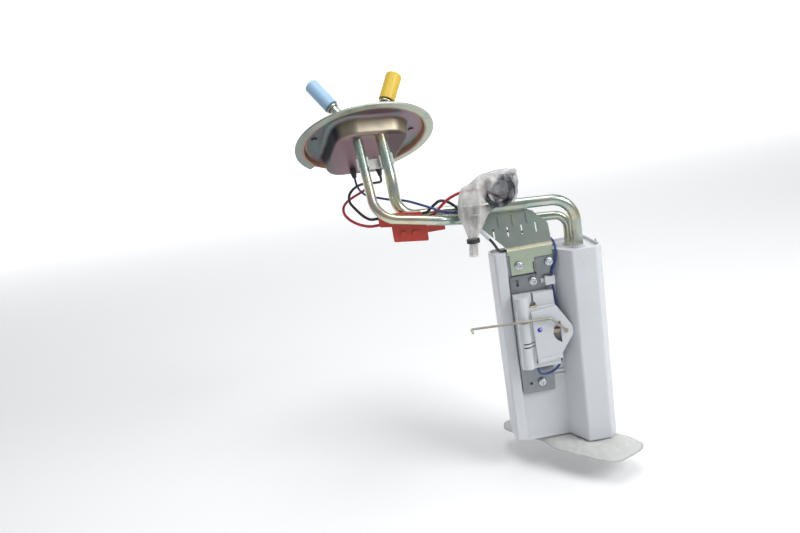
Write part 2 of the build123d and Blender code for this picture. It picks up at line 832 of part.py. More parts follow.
def wiper_contact():
    """Sprung brass finger between the rotor and the card."""
    y0 = -housing_front + 2.5
    strip = box(34, 44, y0, y0 + 0.4, pivot_z - 1.4, pivot_z + 1.4)
    finger = box(34, 34.6, y0, cavity_floor - 1.0 - 0.3, pivot_z - 1.4, pivot_z + 1.4)
    return tank * (strip + finger)


def float_arm():
    """Bent wire arm: pivot leg, crank, long reach and the hook for the float."""
    front = -arm_front
    points = [
        Vector(pivot_x, nose_floor - 1.4, pivot_z),
        Vector(pivot_x, front, pivot_z),
        Vector(38.7, front, -60.1),
        Vector(-29.8, front, -57.2),
        Vector(-29.8, front - 9, -57.2),
    ]
    path = bent_path(points, [2.2, 4.0, 2.2])
    return tank * rod(path, arm_wire / 2)


def sender_terminal():
    """Brass tab at the top of the housing."""
    return tank * box(23.5, 30.0, -8.6, -7.22, -49.98, -48.6)


def lead_clip():
    """White clip on the carrier's edge that holds the sender lead."""
    ring_x, ring_z = 45.4, -29.5
    body = box(sender_right + 0.05, ring_x + 3.0, -5.6, 0.0, ring_z - 3.6, ring_z + 3.6)
    body -= post(ring_x, -3.0, ring_z - 5, ring_z + 5, thin_lead_diameter / 2 + 1.0)
    hook = box(sender_right - 3.0, sender_right + 0.1, -2.6, -sender_sheet - 0.02, ring_z - 2, ring_z + 2)
    return tank * (body + hook)


# ================================================================ strainer


def sock_outline():
    """Plan of the strainer pouch along its own length."""
    half = sock_length / 2
    side = sock_width / 2
    return make_face(Polyline(
        (-half, 0), (-half + 6, -side + 12), (-14, -side + 8), (-5, -side + 1), (half - 26, -side),
        (half - 11, -side + 3), (half, side - 20), (half - 2, side - 10), (half - 18, side - 3),
        (0, side), (-half + 12, side - 4), close=True))


def strainer_sock():
    """Flat felt pouch below the reservoir."""
    top = tank_bottom - cover_thickness - sock_gap
    place = Pos(48, 6, top - sock_height) * Rot(0, 0, sock_turn)
    solid = extrude(sock_outline(), amount=sock_height)
    solid = chamfer(solid.faces().group_by(Axis.Z)[0].edges(), length=2.6)
    solid = chamfer(solid.faces().group_by(Axis.Z)[-1].edges(), length=2.6)
    solid = place * solid
    low = tank_bottom - cover_thickness - inlet_neck
    solid -= post(bulge_x, bulge_y, low - 0.5, top + 5, inlet_radius + 2.0)
    return tank * solid


def strainer_neck():
    """Moulded ring that grips the pump's inlet inside the pouch."""
    low = tank_bottom - cover_thickness - inlet_neck
    top = tank_bottom - cover_thickness - 0.3
    collar = ring(bulge_x, bulge_y, low, top, inlet_radius + 1.5, inlet_radius + 0.05)
    return tank * collar


# ================================================================ harness and bag


def connector_plug():
    """Left half of the in-line connector, with the lower latch block."""
    body = slab([(connector_left, 39.5), (connector_split, 36), (connector_split, 48),
                 (connector_left, 49)], connector_front, 6.4)
    body = fillet(body.edges().filter_by(Axis.Y).group_by(Axis.X)[0], radius=2.0)
    block = slab([(-81, 25), (connector_split, 23.2), (connector_split, 39), (-81, 39.8)],
                 connector_front, 15)
    block = fillet(block.edges().filter_by(Axis.Y).group_by(Axis.X)[0], radius=1.5)
    solid = body + block
    solid += peg(-72.5, 30.5, connector_front - 1.4, connector_front + 1.0, 2.4)
    return tank * solid


def connector_socket():
    """Right half of the in-line connector."""
    body = slab([(connector_split, 30), (connector_right, 30), (connector_right, 46.5),
                 (connector_split, 47.6)], connector_front, 6.0)
    body = fillet(body.edges().filter_by(Axis.Y).group_by(Axis.X)[-1], radius=2.0)
    block = slab([(connector_split, 23.2), (-52, 21.5), (-52, 36), (connector_split, 36)],
                 connector_front, 15)
    block = fillet(block.edges().filter_by(Axis.Y).group_by(Axis.X)[-1], radius=1.5)
    tongue = box(connector_right - 1, -37, connector_front, 4.6, 28.5, 34)
    solid = body + block + tongue
    solid += peg(-62.5, 30.0, connector_front - 1.4, connector_front + 1.0, 2.4)
    return tank * solid


def bag_outline(inset):
    """Front outline of the small parts bag, drawn in by an inset."""
    points = [(-20, 21), (-27, 35), (-25, 52), (-20, 63), (-8, 68), (6, 76), (24, 72),
              (29, 66), (26, 58), (20.5, 48), (26, 39), (8, 37.5), (-6.5, 30), (-15, 21)]
    face = front_face(points)
    return offset(face, amount=-inset, kind=Kind.INTERSECTION) if inset else face


def accessory_bag():
    """Clear bag of small parts, hollow, with its gathered neck and tail."""
    depth = bag_back - bag_front
    outer = Pos(0, bag_front, 0) * extrude(bag_outline(0), amount=depth, dir=(0, 1, 0))
    hollow = Pos(0, bag_front + 1, 0) * extrude(bag_outline(1.0), amount=depth - 2, dir=(0, 1, 0))
    neck_y = (bag_front + bag_back) / 2
    tail = Pos(-17.5, neck_y, 21.6) * Rot(0, 180 - 3, 0) * Cone(
        3.0, 4.4, 46, align=(Align.CENTER, Align.CENTER, Align.MIN))
    tail &= box(-40, 20, -60, 20, -1.5, 21.6)
    return tank * (outer - hollow + tail)


def bag_tie():
    """Black band round the bag's neck."""
    neck_y = (bag_front + bag_back) / 2
    return tank * ring(-17.5, neck_y, 16.6, 19.6, 5.4, 3.6)


def seal_ring():
    """Rubber tank seal, coiled in the bag."""
    neck_y = (bag_front + bag_back) / 2
    solid = None
    for turn in range(3):
        y = neck_y + (turn - 1) * 3.6
        loop = Pos(8, y, 55) * Rot(90, 0, 0) * Torus(11, 1.9)
        solid = loop if solid is None else solid + loop
    return tank * solid


def below_boot(index, extra):
    """A point straight below a boot's tip."""
    x, y = terminal_places[index]
    return on_flange(x, y, -pocket_depth - boot_length - extra)


def leads():
    """Wires of the module, from the flange's terminals to the sender, bracket and pump."""
    flange_red = [below_boot(1, 0), below_boot(1, 8), in_tank(-99.3, 64, 65), in_tank(-108, 52, 63),
                  in_tank(-115, 42, 61), in_tank(-119.6, 32, 57.5), in_tank(-119.5, 22, 52.5),
                  in_tank(-114.5, 13, 47.5), in_tank(-107, 6.5, 43.5), in_tank(-98.5, 3.6, 41),
                  in_tank(connector_left, 3.6, 41)]
    flange_black = [below_boot(2, 0), below_boot(2, 7), in_tank(-92, 67, 70), in_tank(-101, 57, 72),
                    in_tank(-108, 47, 70.5), in_tank(-113, 37, 66.5), in_tank(-113.4, 27, 61),
                    in_tank(-108.5, 17, 55.5), in_tank(-103, 8.5, 50), in_tank(-97.5, 3.8, 46.6),
                    in_tank(connector_left, 3.8, 46.6)]
    sender = [below_boot(0, 0), below_boot(0, 7), in_tank(-103.5, 56, 66), in_tank(-97.5, 42, 62),
              in_tank(-88.2, 32, 60.2), in_tank(-78, 25, 57.5), in_tank(-66, 17.5, 56),
              in_tank(-57, 6, 53.2), in_tank(-48, -1.2, 49.6), in_tank(-39.5, -1.5, 44.6),
              in_tank(-31.5, 1.6, 41.6), in_tank(-24, 2.4, 40.2), in_tank(-16, 1.8, 37.5),
              in_tank(-12, 2.2, 31), in_tank(-11, 4.8, 25.5), in_tank(-6, 8, 21), in_tank(4, 9.2, 18.5),
              in_tank(16, 9, 16), in_tank(28, 8, 13.5), in_tank(39, 6.6, 10.5),
              in_tank(48, 5, 7.5), in_tank(52.6, 1.2, 2.8), in_tank(52, -3.7, -3.4),
              in_tank(51, -4.9, -12.5), in_tank(47.5, -4.2, -20.5), in_tank(45.6, -3, -29.5),
              in_tank(47.2, -2.8, -39.5), in_tank(48.2, -2, -51), in_tank(48.4, -1.5, -64),
              in_tank(48.4, -1.5, -78), in_tank(48.2, -2, -91), in_tank(47.9, -3.2, -104.5),
              in_tank(42.5, -5.6, -111), in_tank(34, -7, -114), in_tank(25.6, -7.5, -113),
              in_tank(25, -7.5, housing_bottom)]
    ground = [in_tank(connector_right, 3.6, 45), in_tank(-49.5, 3.6, 45), in_tank(-44, 3.6, 49.5),
              in_tank(-38, 3.4, 53.2), in_tank(-31, 3.2, 50.5), in_tank(-24.5, 1.2, 44.5),
              in_tank(-18, -2.3, 37), in_tank(-12.5, -2.4, 28), in_tank(-6, -2.6, 19.4),
              in_tank(0.8, -2.2, 10.4), in_tank(5.2, 0.6, 1.35), in_tank(bracket_left - 1.6, 0.6, 1.35)]
    pump_red = [in_tank(connector_right, 3.4, 39.5), in_tank(-49, 3.4, 39.5), in_tank(-43, 1.6, 43.6),
                in_tank(-37.5, 0.6, 49), in_tank(-30.5, -0.6, 54), in_tank(-22, -1.2, 57),
                in_tank(-11, 1.5, 57.5), in_tank(1, 8, 54), in_tank(12, 14.5, 47), in_tank(23, 16.5, 38.5),
                in_tank(34, 13.5, 31.5), in_tank(44, 10.6, 23.5), in_tank(50.5, 11.8, 12),
                in_tank(53.5, 15.5, 1), in_tank(54, 18, -9), in_tank(56.5, 16, -22),
                in_tank(60.5, 9, -34), in_tank(64.5, -1, -45), in_tank(64.5, -1, pump_top + 3)]
    return {"flange_lead_red": flange_red, "flange_lead_black": flange_black, "sender_lead": sender,
            "ground_lead": ground, "pump_lead_red": pump_red}


def lead_sleeve():
    """White sleeve pushed over the ground lead, along its own line."""
    points = [Vector(p) for p in leads()["ground_lead"]]
    here = points[7:9]
    radii = []
    for before, corner, after in zip(points[6:8], points[7:9], points[8:10]):
        first = corner - before
        second = after - corner
        turn = math.radians(first.get_angle(second))
        radii.append(0.45 * min(first.length, second.length) / math.tan(turn / 2))
    start = points[6] + (points[7] - points[6]) * 0.5
    end = points[8] + (points[9] - points[8]) * 0.5
    path = bent_path([start, *here, end], radii)
    bore = lead_diameter / 2 + sleeve_gap
    return pipe(path, bore + sleeve_wall, bore)


def build():
    """Make and write every sub-part."""
    supply = supply_path()
    back = return_path()
    save(flange_plate(), "flange_plate")
    save(line_tube(supply, supply_diameter, supply_cap_length), "supply_tube")
    save(line_tube(back, return_diameter, return_cap_length), "return_tube")
    save(transport_cap(supply, supply_diameter, supply_cap_diameter, supply_cap_length), "supply_cap")
    save(transport_cap(back, return_diameter, return_cap_diameter, return_cap_length), "return_cap")
    save(bulkhead(), "bulkhead_connector")
    save(terminals(), "terminal_pins")
    save(lead_boots(), "lead_boots")
    save(tube_brace(), "tube_brace")
    save(reservoir_shell(), "reservoir_shell")
    save(reservoir_cap(), "reservoir_cap")
    save(reservoir_base(), "reservoir_base")
    save(pump_case(), "pump_case")
    save(pump_inlet_cover(), "pump_inlet_cover")
    save(pump_outlet_cover(), "pump_outlet_cover")
    save(pump_magnets(), "pump_magnets")
    save(pump_armature(), "pump_armature")
    save(pump_brushes(), "pump_brushes")
    save(pump_impeller(), "pump_impeller")
    save(isolator_rings(), "isolator_rings")
    save(check_ball(), "check_ball")
    save(coupling_hose(), "coupling_hose")
    save(hose_clamps(), "hose_clamps")
    save(hanger_bracket(), "hanger_bracket")
    bracket_seats = (-bracket_sheet, -bracket_sheet - sender_sheet - 0.02)
    save(group([screw(x, z, seat) for (x, z), seat in zip(bracket_screws, bracket_seats)]), "bracket_screws")
    save(group([screw(x, z, -sender_sheet) for x, z in sender_screws]), "sender_screws")
    save(sender_plate(), "sender_plate")
    save(sender_housing(), "sender_housing")
    save(sender_cover(), "sender_cover")
    save(resistor_card(), "resistor_card")
    save(wiper_rotor(), "wiper_rotor")
    save(wiper_contact(), "wiper_contact")
    save(float_arm(), "float_arm")
    save(sender_terminal(), "sender_terminal")
    save(lead_clip(), "lead_clip")
    save(strainer_sock(), "strainer_sock")
    save(strainer_neck(), "strainer_neck")
    save(connector_plug(), "connector_plug")
    save(connector_socket(), "connector_socket")
    save(accessory_bag(), "accessory_bag")
    save(lead_sleeve(), "lead_sleeve")
    save(bag_tie(), "bag_tie")
    save(seal_ring(), "seal_ring")
    for name, points in leads().items():
        size = thin_lead_diameter if name == "sender_lead" else lead_diameter
        save(lead(points, size, name), name)


build()
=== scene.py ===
"""Fuel pump module: the look of every piece on the fixed CAD frame."""

import logging
import math
from dataclasses import dataclass
from enum import Enum
from typing import Dict, List, Optional, Sequence, Tuple, Union

import bmesh
import bpy
from mathutils import Matrix, Vector, noise

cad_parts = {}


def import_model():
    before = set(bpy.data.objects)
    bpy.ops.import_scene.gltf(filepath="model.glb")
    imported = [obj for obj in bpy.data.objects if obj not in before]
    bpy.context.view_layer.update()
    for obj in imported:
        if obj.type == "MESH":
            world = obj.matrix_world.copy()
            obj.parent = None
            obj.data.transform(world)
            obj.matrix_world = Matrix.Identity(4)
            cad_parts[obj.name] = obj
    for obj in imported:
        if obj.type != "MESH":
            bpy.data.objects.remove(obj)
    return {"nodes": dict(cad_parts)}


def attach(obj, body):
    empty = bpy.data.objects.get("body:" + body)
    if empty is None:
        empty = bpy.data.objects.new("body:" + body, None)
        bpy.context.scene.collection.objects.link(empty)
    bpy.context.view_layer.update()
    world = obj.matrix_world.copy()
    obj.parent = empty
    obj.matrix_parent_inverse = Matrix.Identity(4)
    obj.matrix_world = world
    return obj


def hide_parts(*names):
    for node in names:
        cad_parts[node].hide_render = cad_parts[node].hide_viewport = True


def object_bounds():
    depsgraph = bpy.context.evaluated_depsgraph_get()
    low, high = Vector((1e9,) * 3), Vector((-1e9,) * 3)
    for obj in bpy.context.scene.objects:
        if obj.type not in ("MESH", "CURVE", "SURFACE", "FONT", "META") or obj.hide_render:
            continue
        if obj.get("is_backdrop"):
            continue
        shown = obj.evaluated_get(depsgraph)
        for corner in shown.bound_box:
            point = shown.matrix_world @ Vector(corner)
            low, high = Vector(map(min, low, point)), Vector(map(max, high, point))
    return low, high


log = logging.getLogger("fuel_pump_module")
MM = 0.001
TANK_ORIGIN = (91.0, -61.5, -108.0)
Number = Union[float, int]
Colour = Tuple[float, float, float]
Point = Tuple[float, float, float]
Folds = Tuple[float, float, float, float]


# ---------------------------------------------------------------- shader maths


class Signal:
    """A shader socket that can be used in ordinary arithmetic."""

    def __init__(self, shop: "Shader", socket: bpy.types.NodeSocket) -> None:
        """Wraps one output socket of the shader being built."""
        self.shop = shop
        self.socket = socket

    def _math(self, operation: str, *values: Union["Signal", Number], clamp: bool = False) -> "Signal":
        """Adds one Math node for an operation on its values, held from 0 to 1 if asked."""
        settings = {"operation": operation, "use_clamp": clamp}
        return self.shop.node("ShaderNodeMath", settings, {i: v for i, v in enumerate(values)})

    def __add__(self, other: Union["Signal", Number]) -> "Signal":
        """Sum."""
        return self._math("ADD", self, other)

    __radd__ = __add__

    def __sub__(self, other: Union["Signal", Number]) -> "Signal":
        """Difference."""
        return self._math("SUBTRACT", self, other)

    def __rsub__(self, other: Union["Signal", Number]) -> "Signal":
        """Difference with this value taken away."""
        return self._math("SUBTRACT", other, self)

    def __mul__(self, other: Union["Signal", Number]) -> "Signal":
        """Product."""
        return self._math("MULTIPLY", self, other)

    __rmul__ = __mul__

    def size(self) -> "Signal":
        """The value without its sign."""
        return self._math("ABSOLUTE", self)

    def clamped(self) -> "Signal":
        """The value held from 0 to 1."""
        return self._math("ADD", self, 0.0, clamp=True)

    def above(self, edge: float, soft: float) -> "Signal":
        """A mask that rises from 0 to 1 over a step as wide as soft, centred on edge."""
        return ((self - (edge - soft / 2)) * (1.0 / soft)).clamped()

    def distance(self, other: Point) -> "Signal":
        """Distance of this vector from a fixed point."""
        return self.shop.node("ShaderNodeVectorMath", {"operation": "DISTANCE"},
                              {0: self, 1: other}, out="Value")

    def along(self, axis: Point) -> "Signal":
        """How far this vector reaches along a fixed axis."""
        return self.shop.node("ShaderNodeVectorMath", {"operation": "DOT_PRODUCT"},
                              {0: self, 1: axis}, out="Value")

    def hypot(self, other: "Signal") -> "Signal":
        """Length of the vector that this and another value make."""
        return self._math("SQRT", self * self + other * other)


class Shader:
    """One procedural material while it is being built."""

    def __init__(self, name: str) -> None:
        """Starts an empty material with its output and Principled shader.

        Args:
            name: the material's name.
        """
        self.material = bpy.data.materials.new(name)
        self.material.use_nodes = True
        self.tree = self.material.node_tree
        self.tree.nodes.clear()
        self.output = self.tree.nodes.new("ShaderNodeOutputMaterial")
        self.surface = self.tree.nodes.new("ShaderNodeBsdfPrincipled")
        self.tree.links.new(self.surface.outputs[0], self.output.inputs[0])

    def _feed(self, socket: bpy.types.NodeSocket, value: object) -> None:
        """Sets or links one input socket.

        Args:
            socket: the input.
            value: a signal to link, a colour, or a number.
        """
        if isinstance(value, Signal):
            self.tree.links.new(value.socket, socket)
        elif isinstance(value, tuple) and len(value) == 3 and socket.type == "RGBA":
            socket.default_value = (*value, 1.0)
        else:
            socket.default_value = value

    def node(self, kind: str, settings: Dict[str, object], inputs: Dict[object, object],
             out: Union[str, int] = 0) -> Signal:
        """Adds any other node.

        Args:
            kind: the node's type.
            settings: its settings, with "stops" for a colour ramp.
            inputs: values or signals by socket name or number.
            out: which output to hand back.

        Returns:
            The chosen output.
        """
        made = self.tree.nodes.new(kind)
        for key, value in settings.items():
            if key == "stops":
                self._stops(made.color_ramp, value)
            else:
                setattr(made, key, value)
        for key, value in inputs.items():
            self._feed(made.inputs[key], value)
        return Signal(self, made.outputs[out])

    @staticmethod
    def _stops(ramp: bpy.types.ColorRamp, stops: Sequence[Tuple[float, Colour]]) -> None:
        """Writes a colour ramp's stops.

        Args:
            ramp: the ramp of a node.
            stops: places from 0 to 1 with their colours.
        """
        while len(ramp.elements) < len(stops):
            ramp.elements.new(0.5)
        for element, (place, colour) in zip(ramp.elements, stops):
            element.position = place
            element.color = (*colour, 1.0)

    def place(self, stretch: Point = (1.0, 1.0, 1.0)) -> Signal:
        """Object coordinates, in metres, stretched along the axes."""
        spot = self.node("ShaderNodeTexCoord", {}, {}, out="Object")
        return self.node("ShaderNodeMapping", {}, {"Vector": spot, "Scale": stretch})

    def grain(self, scale: float, detail: float = 4.0, rough: float = 0.55,
              stretch: Point = (1.0, 1.0, 1.0)) -> Signal:
        """Fractal noise, in features per metre."""
        return self.node("ShaderNodeTexNoise", {}, {
            "Vector": self.place(stretch), "Scale": scale, "Detail": detail, "Roughness": rough})

    def mix(self, mask: Union[Signal, float], first: object, second: object,
            blend: str = "MIX") -> Signal:
        """Mixes two colours by a mask.

        Args:
            mask: 0 for the first colour, 1 for the second.
            first: a colour or a signal.
            second: a colour or a signal.
            blend: how the second is laid over the first.

        Returns:
            The mixed colour.
        """
        made = self.tree.nodes.new("ShaderNodeMix")
        made.data_type = "RGBA"
        made.blend_type = blend
        self._feed(made.inputs[0], mask)
        self._feed(made.inputs[6], first)
        self._feed(made.inputs[7], second)
        return Signal(self, made.outputs[2])

    def ramp(self, value: Signal, stops: Sequence[Tuple[float, Colour]]) -> Signal:
        """Turns a value into a colour."""
        return self.node("ShaderNodeValToRGB", {"stops": stops}, {0: value})

    def bump(self, height: Signal, strength: float, depth: float,
             before: Optional[Signal] = None) -> Signal:
        """Adds relief to the surface's normal.

        Args:
            height: the relief, 0 to 1.
            strength: how much of it shows.
            depth: its depth in metres.
            before: an earlier normal it is laid over.

        Returns:
            The new normal.
        """
        inputs: Dict[object, object] = {"Height": height, "Strength": strength, "Distance": depth}
        if before is not None:
            inputs["Normal"] = before
        return self.node("ShaderNodeBump", {}, inputs)

    def wear(self, low: float, high: float) -> Signal:
        """A mask of convex edges from Geometry's pointiness.

        Args:
            low: pointiness where the mask starts.
            high: pointiness where it is full.

        Returns:
            The mask.
        """
        point = self.node("ShaderNodeNewGeometry", {}, {}, out="Pointiness")
        return self.node("ShaderNodeMapRange", {"clamp": True}, {
            "Value": point, "From Min": low, "From Max": high})

    def finish(self, **values: object) -> bpy.types.Material:
        """Feeds the Principled shader by socket name, with _ for a space.

        Args:
            values: constants, or signals for the sockets that may vary.

        Returns:
            The finished material.
        """
        for key, value in values.items():
            self._feed(self.surface.inputs[key.replace("_", " ")], value)
        return self.material


# ---------------------------------------------------------------- finishes


@dataclass(frozen=True)
class ChromatedSheet:
    """Zinc plated sheet with a faintly iridescent chromate film."""

    name: str
    base: Colour = (0.50, 0.52, 0.49)
    warm: Colour = (0.62, 0.47, 0.42)
    cool: Colour = (0.46, 0.56, 0.46)
    gold: Colour = (0.66, 0.62, 0.40)
    roughness: float = 0.34
    metal: float = 0.85
    patch: float = 38.0

    def make(self) -> bpy.types.Material:
        """Film colour in soft bands, rolling lines and fine handling marks.

        Returns:
            The finished material.
        """
        s = Shader(self.name)
        film = s.grain(self.patch, 3.0, 0.5)
        tint = s.ramp(film, [(0.30, self.cool), (0.42, self.base), (0.55, self.base),
                             (0.64, self.gold), (0.74, self.warm)])
        lines = s.grain(900.0, 3.0, 0.6, (1.0, 0.06, 1.0))
        smudge = s.grain(120.0, 5.0, 0.6)
        colour = s.mix(lines * 0.18, tint, (0.30, 0.31, 0.30))
        colour = s.mix(s.wear(0.52, 0.62) * 0.35, colour, (0.86, 0.86, 0.82))
        rough = self.roughness - 0.10 + 0.22 * smudge
        return s.finish(Base_Color=colour, Metallic=self.metal, Roughness=rough,
                        Normal=s.bump(lines + smudge * 0.6, 0.25, 0.00004))


@dataclass(frozen=True)
class PressedFlange(ChromatedSheet):
    """The flange's chromate: its film colour changes with the pressed form, with painted shade over
    its left side and side walls and a painted shadow on its floor.
    """

    normal: Point = (-0.0645, 0.4639, 0.8835)
    across: Point = (0.9979, 0.0300, 0.0571)
    pocket_turn: float = 18.0
    step_radius: float = 0.0545
    wall_top: float = 0.0015
    side_wall: float = 0.0310
    floor_level: float = -0.0100
    near_wall: float = -0.030
    rim: Colour = (0.47, 0.51, 0.43)
    disc: Colour = (0.20, 0.215, 0.215)
    mauve: Colour = (0.26, 0.18, 0.21)
    teal: Colour = (0.15, 0.25, 0.235)
    orange: Colour = (0.44, 0.24, 0.15)
    tan: Colour = (0.33, 0.295, 0.225)
    rose: Colour = (0.24, 0.145, 0.165)
    # The next three colours are painted shade: on the side walls, over the left side, and as a shadow
    # on the floor.
    painted_wall_shade: Colour = (0.05, 0.055, 0.085)
    painted_left_shade: Colour = (0.085, 0.10, 0.11)
    painted_floor_shadow: Colour = (0.06, 0.035, 0.035)

    def make(self) -> bpy.types.Material:
        """Green rim, orange step, mauve disc, tan near wall, rose floor, side walls in painted shade,
        painted shade on the left and a painted shadow on the floor's right part.

        Returns:
            The finished material.
        """
        s = Shader(self.name)
        n, x = Vector(self.normal), Vector(self.across)
        y = n.cross(x)
        turn = math.radians(self.pocket_turn)
        spot = s.place()
        broad = s.grain(30.0, 2.0, 0.5)
        patch = s.grain(55.0, 3.0, 0.5)
        wobble = (patch - 0.5) * 0.004
        height = spot.along(tuple(n)) + wobble
        radius = spot.along(tuple(x)).hypot(spot.along(tuple(y))) + wobble * 0.6
        side = spot.along(tuple(x * math.cos(turn) + y * math.sin(turn))) + wobble
        depth = spot.along(tuple(y * math.cos(turn) - x * math.sin(turn))) + wobble
        disc = s.mix(broad.above(0.52, 0.16), self.disc, self.mauve)
        disc = s.mix(patch.above(0.60, 0.12) * 0.8, disc, self.teal)
        below = 1 - height.above(self.wall_top, 0.003)
        floor = 1 - height.above(self.floor_level, 0.002)
        colour = s.mix(below, disc, self.tan)
        # Painted shade on the pocket's two side walls.
        colour = s.mix(side.size().above(self.side_wall, 0.004) * below, colour, self.painted_wall_shade)
        colour = s.mix(floor, colour, self.rose)
        near = 1 - depth.above(self.near_wall, 0.006)
        colour = s.mix(floor * near * 0.5, colour, self.tan)
        # Painted shade: the flange gets darker towards its left side.
        reach = spot.along(tuple(x)) + wobble * 2.0
        left = 1 - reach.above(-0.034, 0.026)
        colour = s.mix(left * 0.75, colour, self.painted_left_shade)
        outside = radius.above(self.step_radius + 0.0022, 0.0016)
        step = radius.above(self.step_radius - 0.0018, 0.0012) * (1 - outside)
        # The same painted shade darkens the rim on the left.
        rim = s.mix(left * 0.55, self.rim, self.painted_left_shade)
        colour = s.mix(radius.above(self.step_radius + 0.002, 0.002), colour, rim)
        colour = s.mix(step * 0.85, colour, self.orange)
        # Painted shadow on the right part of the pocket's floor, next to its right wall.
        colour = s.mix(floor * reach.above(0.016, 0.010) * 0.8, colour, self.painted_floor_shadow)
        smudge = s.grain(120.0, 5.0, 0.6)
        colour = s.mix(smudge.above(0.62, 0.1) * 0.3, colour, self.teal)
        lines = s.grain(500.0, 3.0, 0.6, (1.0, 0.08, 1.0))
        rough = self.roughness - 0.02 + 0.2 * smudge
        return s.finish(Base_Color=colour, Metallic=self.metal, Roughness=rough,
                        Normal=s.bump(lines * 0.4 + smudge, 0.12, 0.00006))


@dataclass(frozen=True)
class FoldedBracket(ChromatedSheet):
    """The bracket's chromate, bright and yellow along its fold."""

    fold_height: float = -0.106
    fold_reach: float = 0.0024
    # Colour of the bright line along the fold.
    fold_colour: Colour = (0.93, 0.88, 0.62)

    def make(self) -> bpy.types.Material:
        """Green film with a brassy line where the sheet was bent.

        Returns:
            The finished material.
        """
        s = Shader(self.name)
        film = s.grain(self.patch, 3.0, 0.5)
        tint = s.ramp(film, [(0.30, self.cool), (0.45, self.base), (0.60, self.base),
                             (0.72, self.gold)])
        height = s.node("ShaderNodeSeparateXYZ", {}, {0: s.place()}, out=2)
        uneven = s.grain(300.0, 3.0, 0.6)
        away = (height - self.fold_height).size() + uneven * 0.0008
        bright = (1 - away * (1.0 / self.fold_reach)).clamped()
        low = (1 - height.above(self.fold_height - 0.001, 0.001)) * 0.45
        colour = s.mix(low, tint, self.warm)
        colour = s.mix((bright * 1.8).clamped(), colour, self.fold_colour)
        smudge = s.grain(120.0, 5.0, 0.6)
        lines = s.grain(900.0, 3.0, 0.6, (0.08, 1.0, 1.0))
        rough = self.roughness - 0.1 + 0.2 * smudge
        return s.finish(Base_Color=colour, Metallic=self.metal, Roughness=rough,
                        Normal=s.bump(lines + smudge * 0.6, 0.25, 0.00004))


@dataclass(frozen=True)
class PlatedTube:
    """Bright zinc on a drawn steel tube, with yellow green film bands."""

    name: str
    base: Colour = (0.52, 0.55, 0.48)
    roughness: float = 0.2

    def make(self) -> bpy.types.Material:
        """Smooth drawn surface with slow film colour and a few scuffs.

        Returns:
            The finished material.
        """
        s = Shader(self.name)
        film = s.grain(34.0, 2.0, 0.5)
        tint = s.ramp(film, [(0.34, (0.36, 0.46, 0.40)), (0.46, self.base), (0.54, (0.62, 0.62, 0.44)),
                             (0.64, (0.54, 0.44, 0.38)), (0.74, self.base)])
        scuff = s.grain(110.0, 2.0, 0.5)
        colour = s.mix(scuff.above(0.62, 0.12) * 0.3, tint, (0.30, 0.31, 0.29))
        return s.finish(Base_Color=colour, Metallic=1.0, Roughness=self.roughness + 0.12 * scuff,
                        Normal=s.bump(scuff, 0.03, 0.00005))


@dataclass(frozen=True)
class Steel:
    """Plain worked steel, turned, pressed or brushed."""

    name: str
    base: Colour = (0.42, 0.44, 0.46)
    roughness: float = 0.35
    metal: float = 0.9
    stretch: Point = (1.0, 1.0, 0.08)

    def make(self) -> bpy.types.Material:
        """Brushed lines over mottled plating with brighter edges.

        Returns:
            The finished material.
        """
        s = Shader(self.name)
        lines = s.grain(1500.0, 2.0, 0.5, self.stretch)
        mottle = s.grain(160.0, 4.0, 0.6)
        dark = tuple(c * 0.7 for c in self.base)
        bright = tuple(min(1.0, c * 1.5 + 0.08) for c in self.base)
        colour = s.mix(mottle.above(0.5, 0.35), dark, self.base)
        colour = s.mix(lines * 0.25, colour, bright)
        colour = s.mix(s.wear(0.53, 0.62) * 0.5, colour, bright)
        return s.finish(Base_Color=colour, Metallic=self.metal,
                        Roughness=self.roughness + 0.14 * mottle,
                        Normal=s.bump(lines, 0.2, 0.00003))


@dataclass(frozen=True)
class Moulded:
    """Injection moulded plastic with flow clouds and a spark eroded grain."""

    name: str
    base: Colour = (0.80, 0.82, 0.86)
    roughness: float = 0.38
    grain: float = 0.22
    depth: float = 0.00003
    soft: float = 0.0
    dust: float = 0.05

    def make(self) -> bpy.types.Material:
        """Slow colour clouds, fine grain, and a little dust in random patches.

        Returns:
            The finished material.
        """
        s = Shader(self.name)
        cloud = s.grain(26.0, 3.0, 0.5)
        fine = s.grain(2600.0, 2.0, 0.5)
        marks = s.grain(240.0, 5.0, 0.65)
        dark = tuple(c * 0.93 for c in self.base)
        colour = s.mix(cloud.above(0.5, 0.4), dark, self.base)
        colour = s.mix(marks.above(0.62, 0.16) * self.dust, colour, tuple(c * 0.6 for c in self.base))
        edge = tuple(min(1.0, c * 1.15 + 0.03) for c in self.base)
        colour = s.mix(s.wear(0.53, 0.60) * 0.22, colour, edge)
        rough = self.roughness + 0.12 * marks - 0.05
        return s.finish(Base_Color=self.marks_and_shade(s, colour), Roughness=rough,
                        Subsurface_Weight=self.soft, Subsurface_Scale=0.002,
                        Normal=s.bump(fine, self.grain, self.depth))


    def marks_and_shade(self, s: Shader, colour: Signal) -> Signal:
        """Lays marks and painted shade over the plastic's colour; none by default."""
        return colour


@dataclass(frozen=True)
class InkedCover(Moulded):
    """The sender's cover with the inspector's blue ink dot."""

    dot: Point = (0.1198, -0.07456, -0.1774)
    dot_radius: float = 0.0022
    ink: Colour = (0.012, 0.012, 0.42)

    def marks_and_shade(self, s: Shader, colour: Signal) -> Signal:
        """Lays the dot, almost bare in a crescent on one side.

        Args:
            s: the material being built.
            colour: the plain plastic's colour.

        Returns:
            The colour with its marks.
        """
        spot = s.place()
        uneven = (s.grain(500.0, 3.0, 0.6) - 0.5) * 0.0012
        x, y, z = self.dot
        dot = 1 - (spot.distance(self.dot) + uneven).above(self.dot_radius, 0.0004)
        bare = 1 - (spot.distance((x + 0.0009, y, z + 0.0003)) + uneven).above(0.0009, 0.0005)
        return s.mix(dot * (1 - bare * 0.85), colour, self.ink)


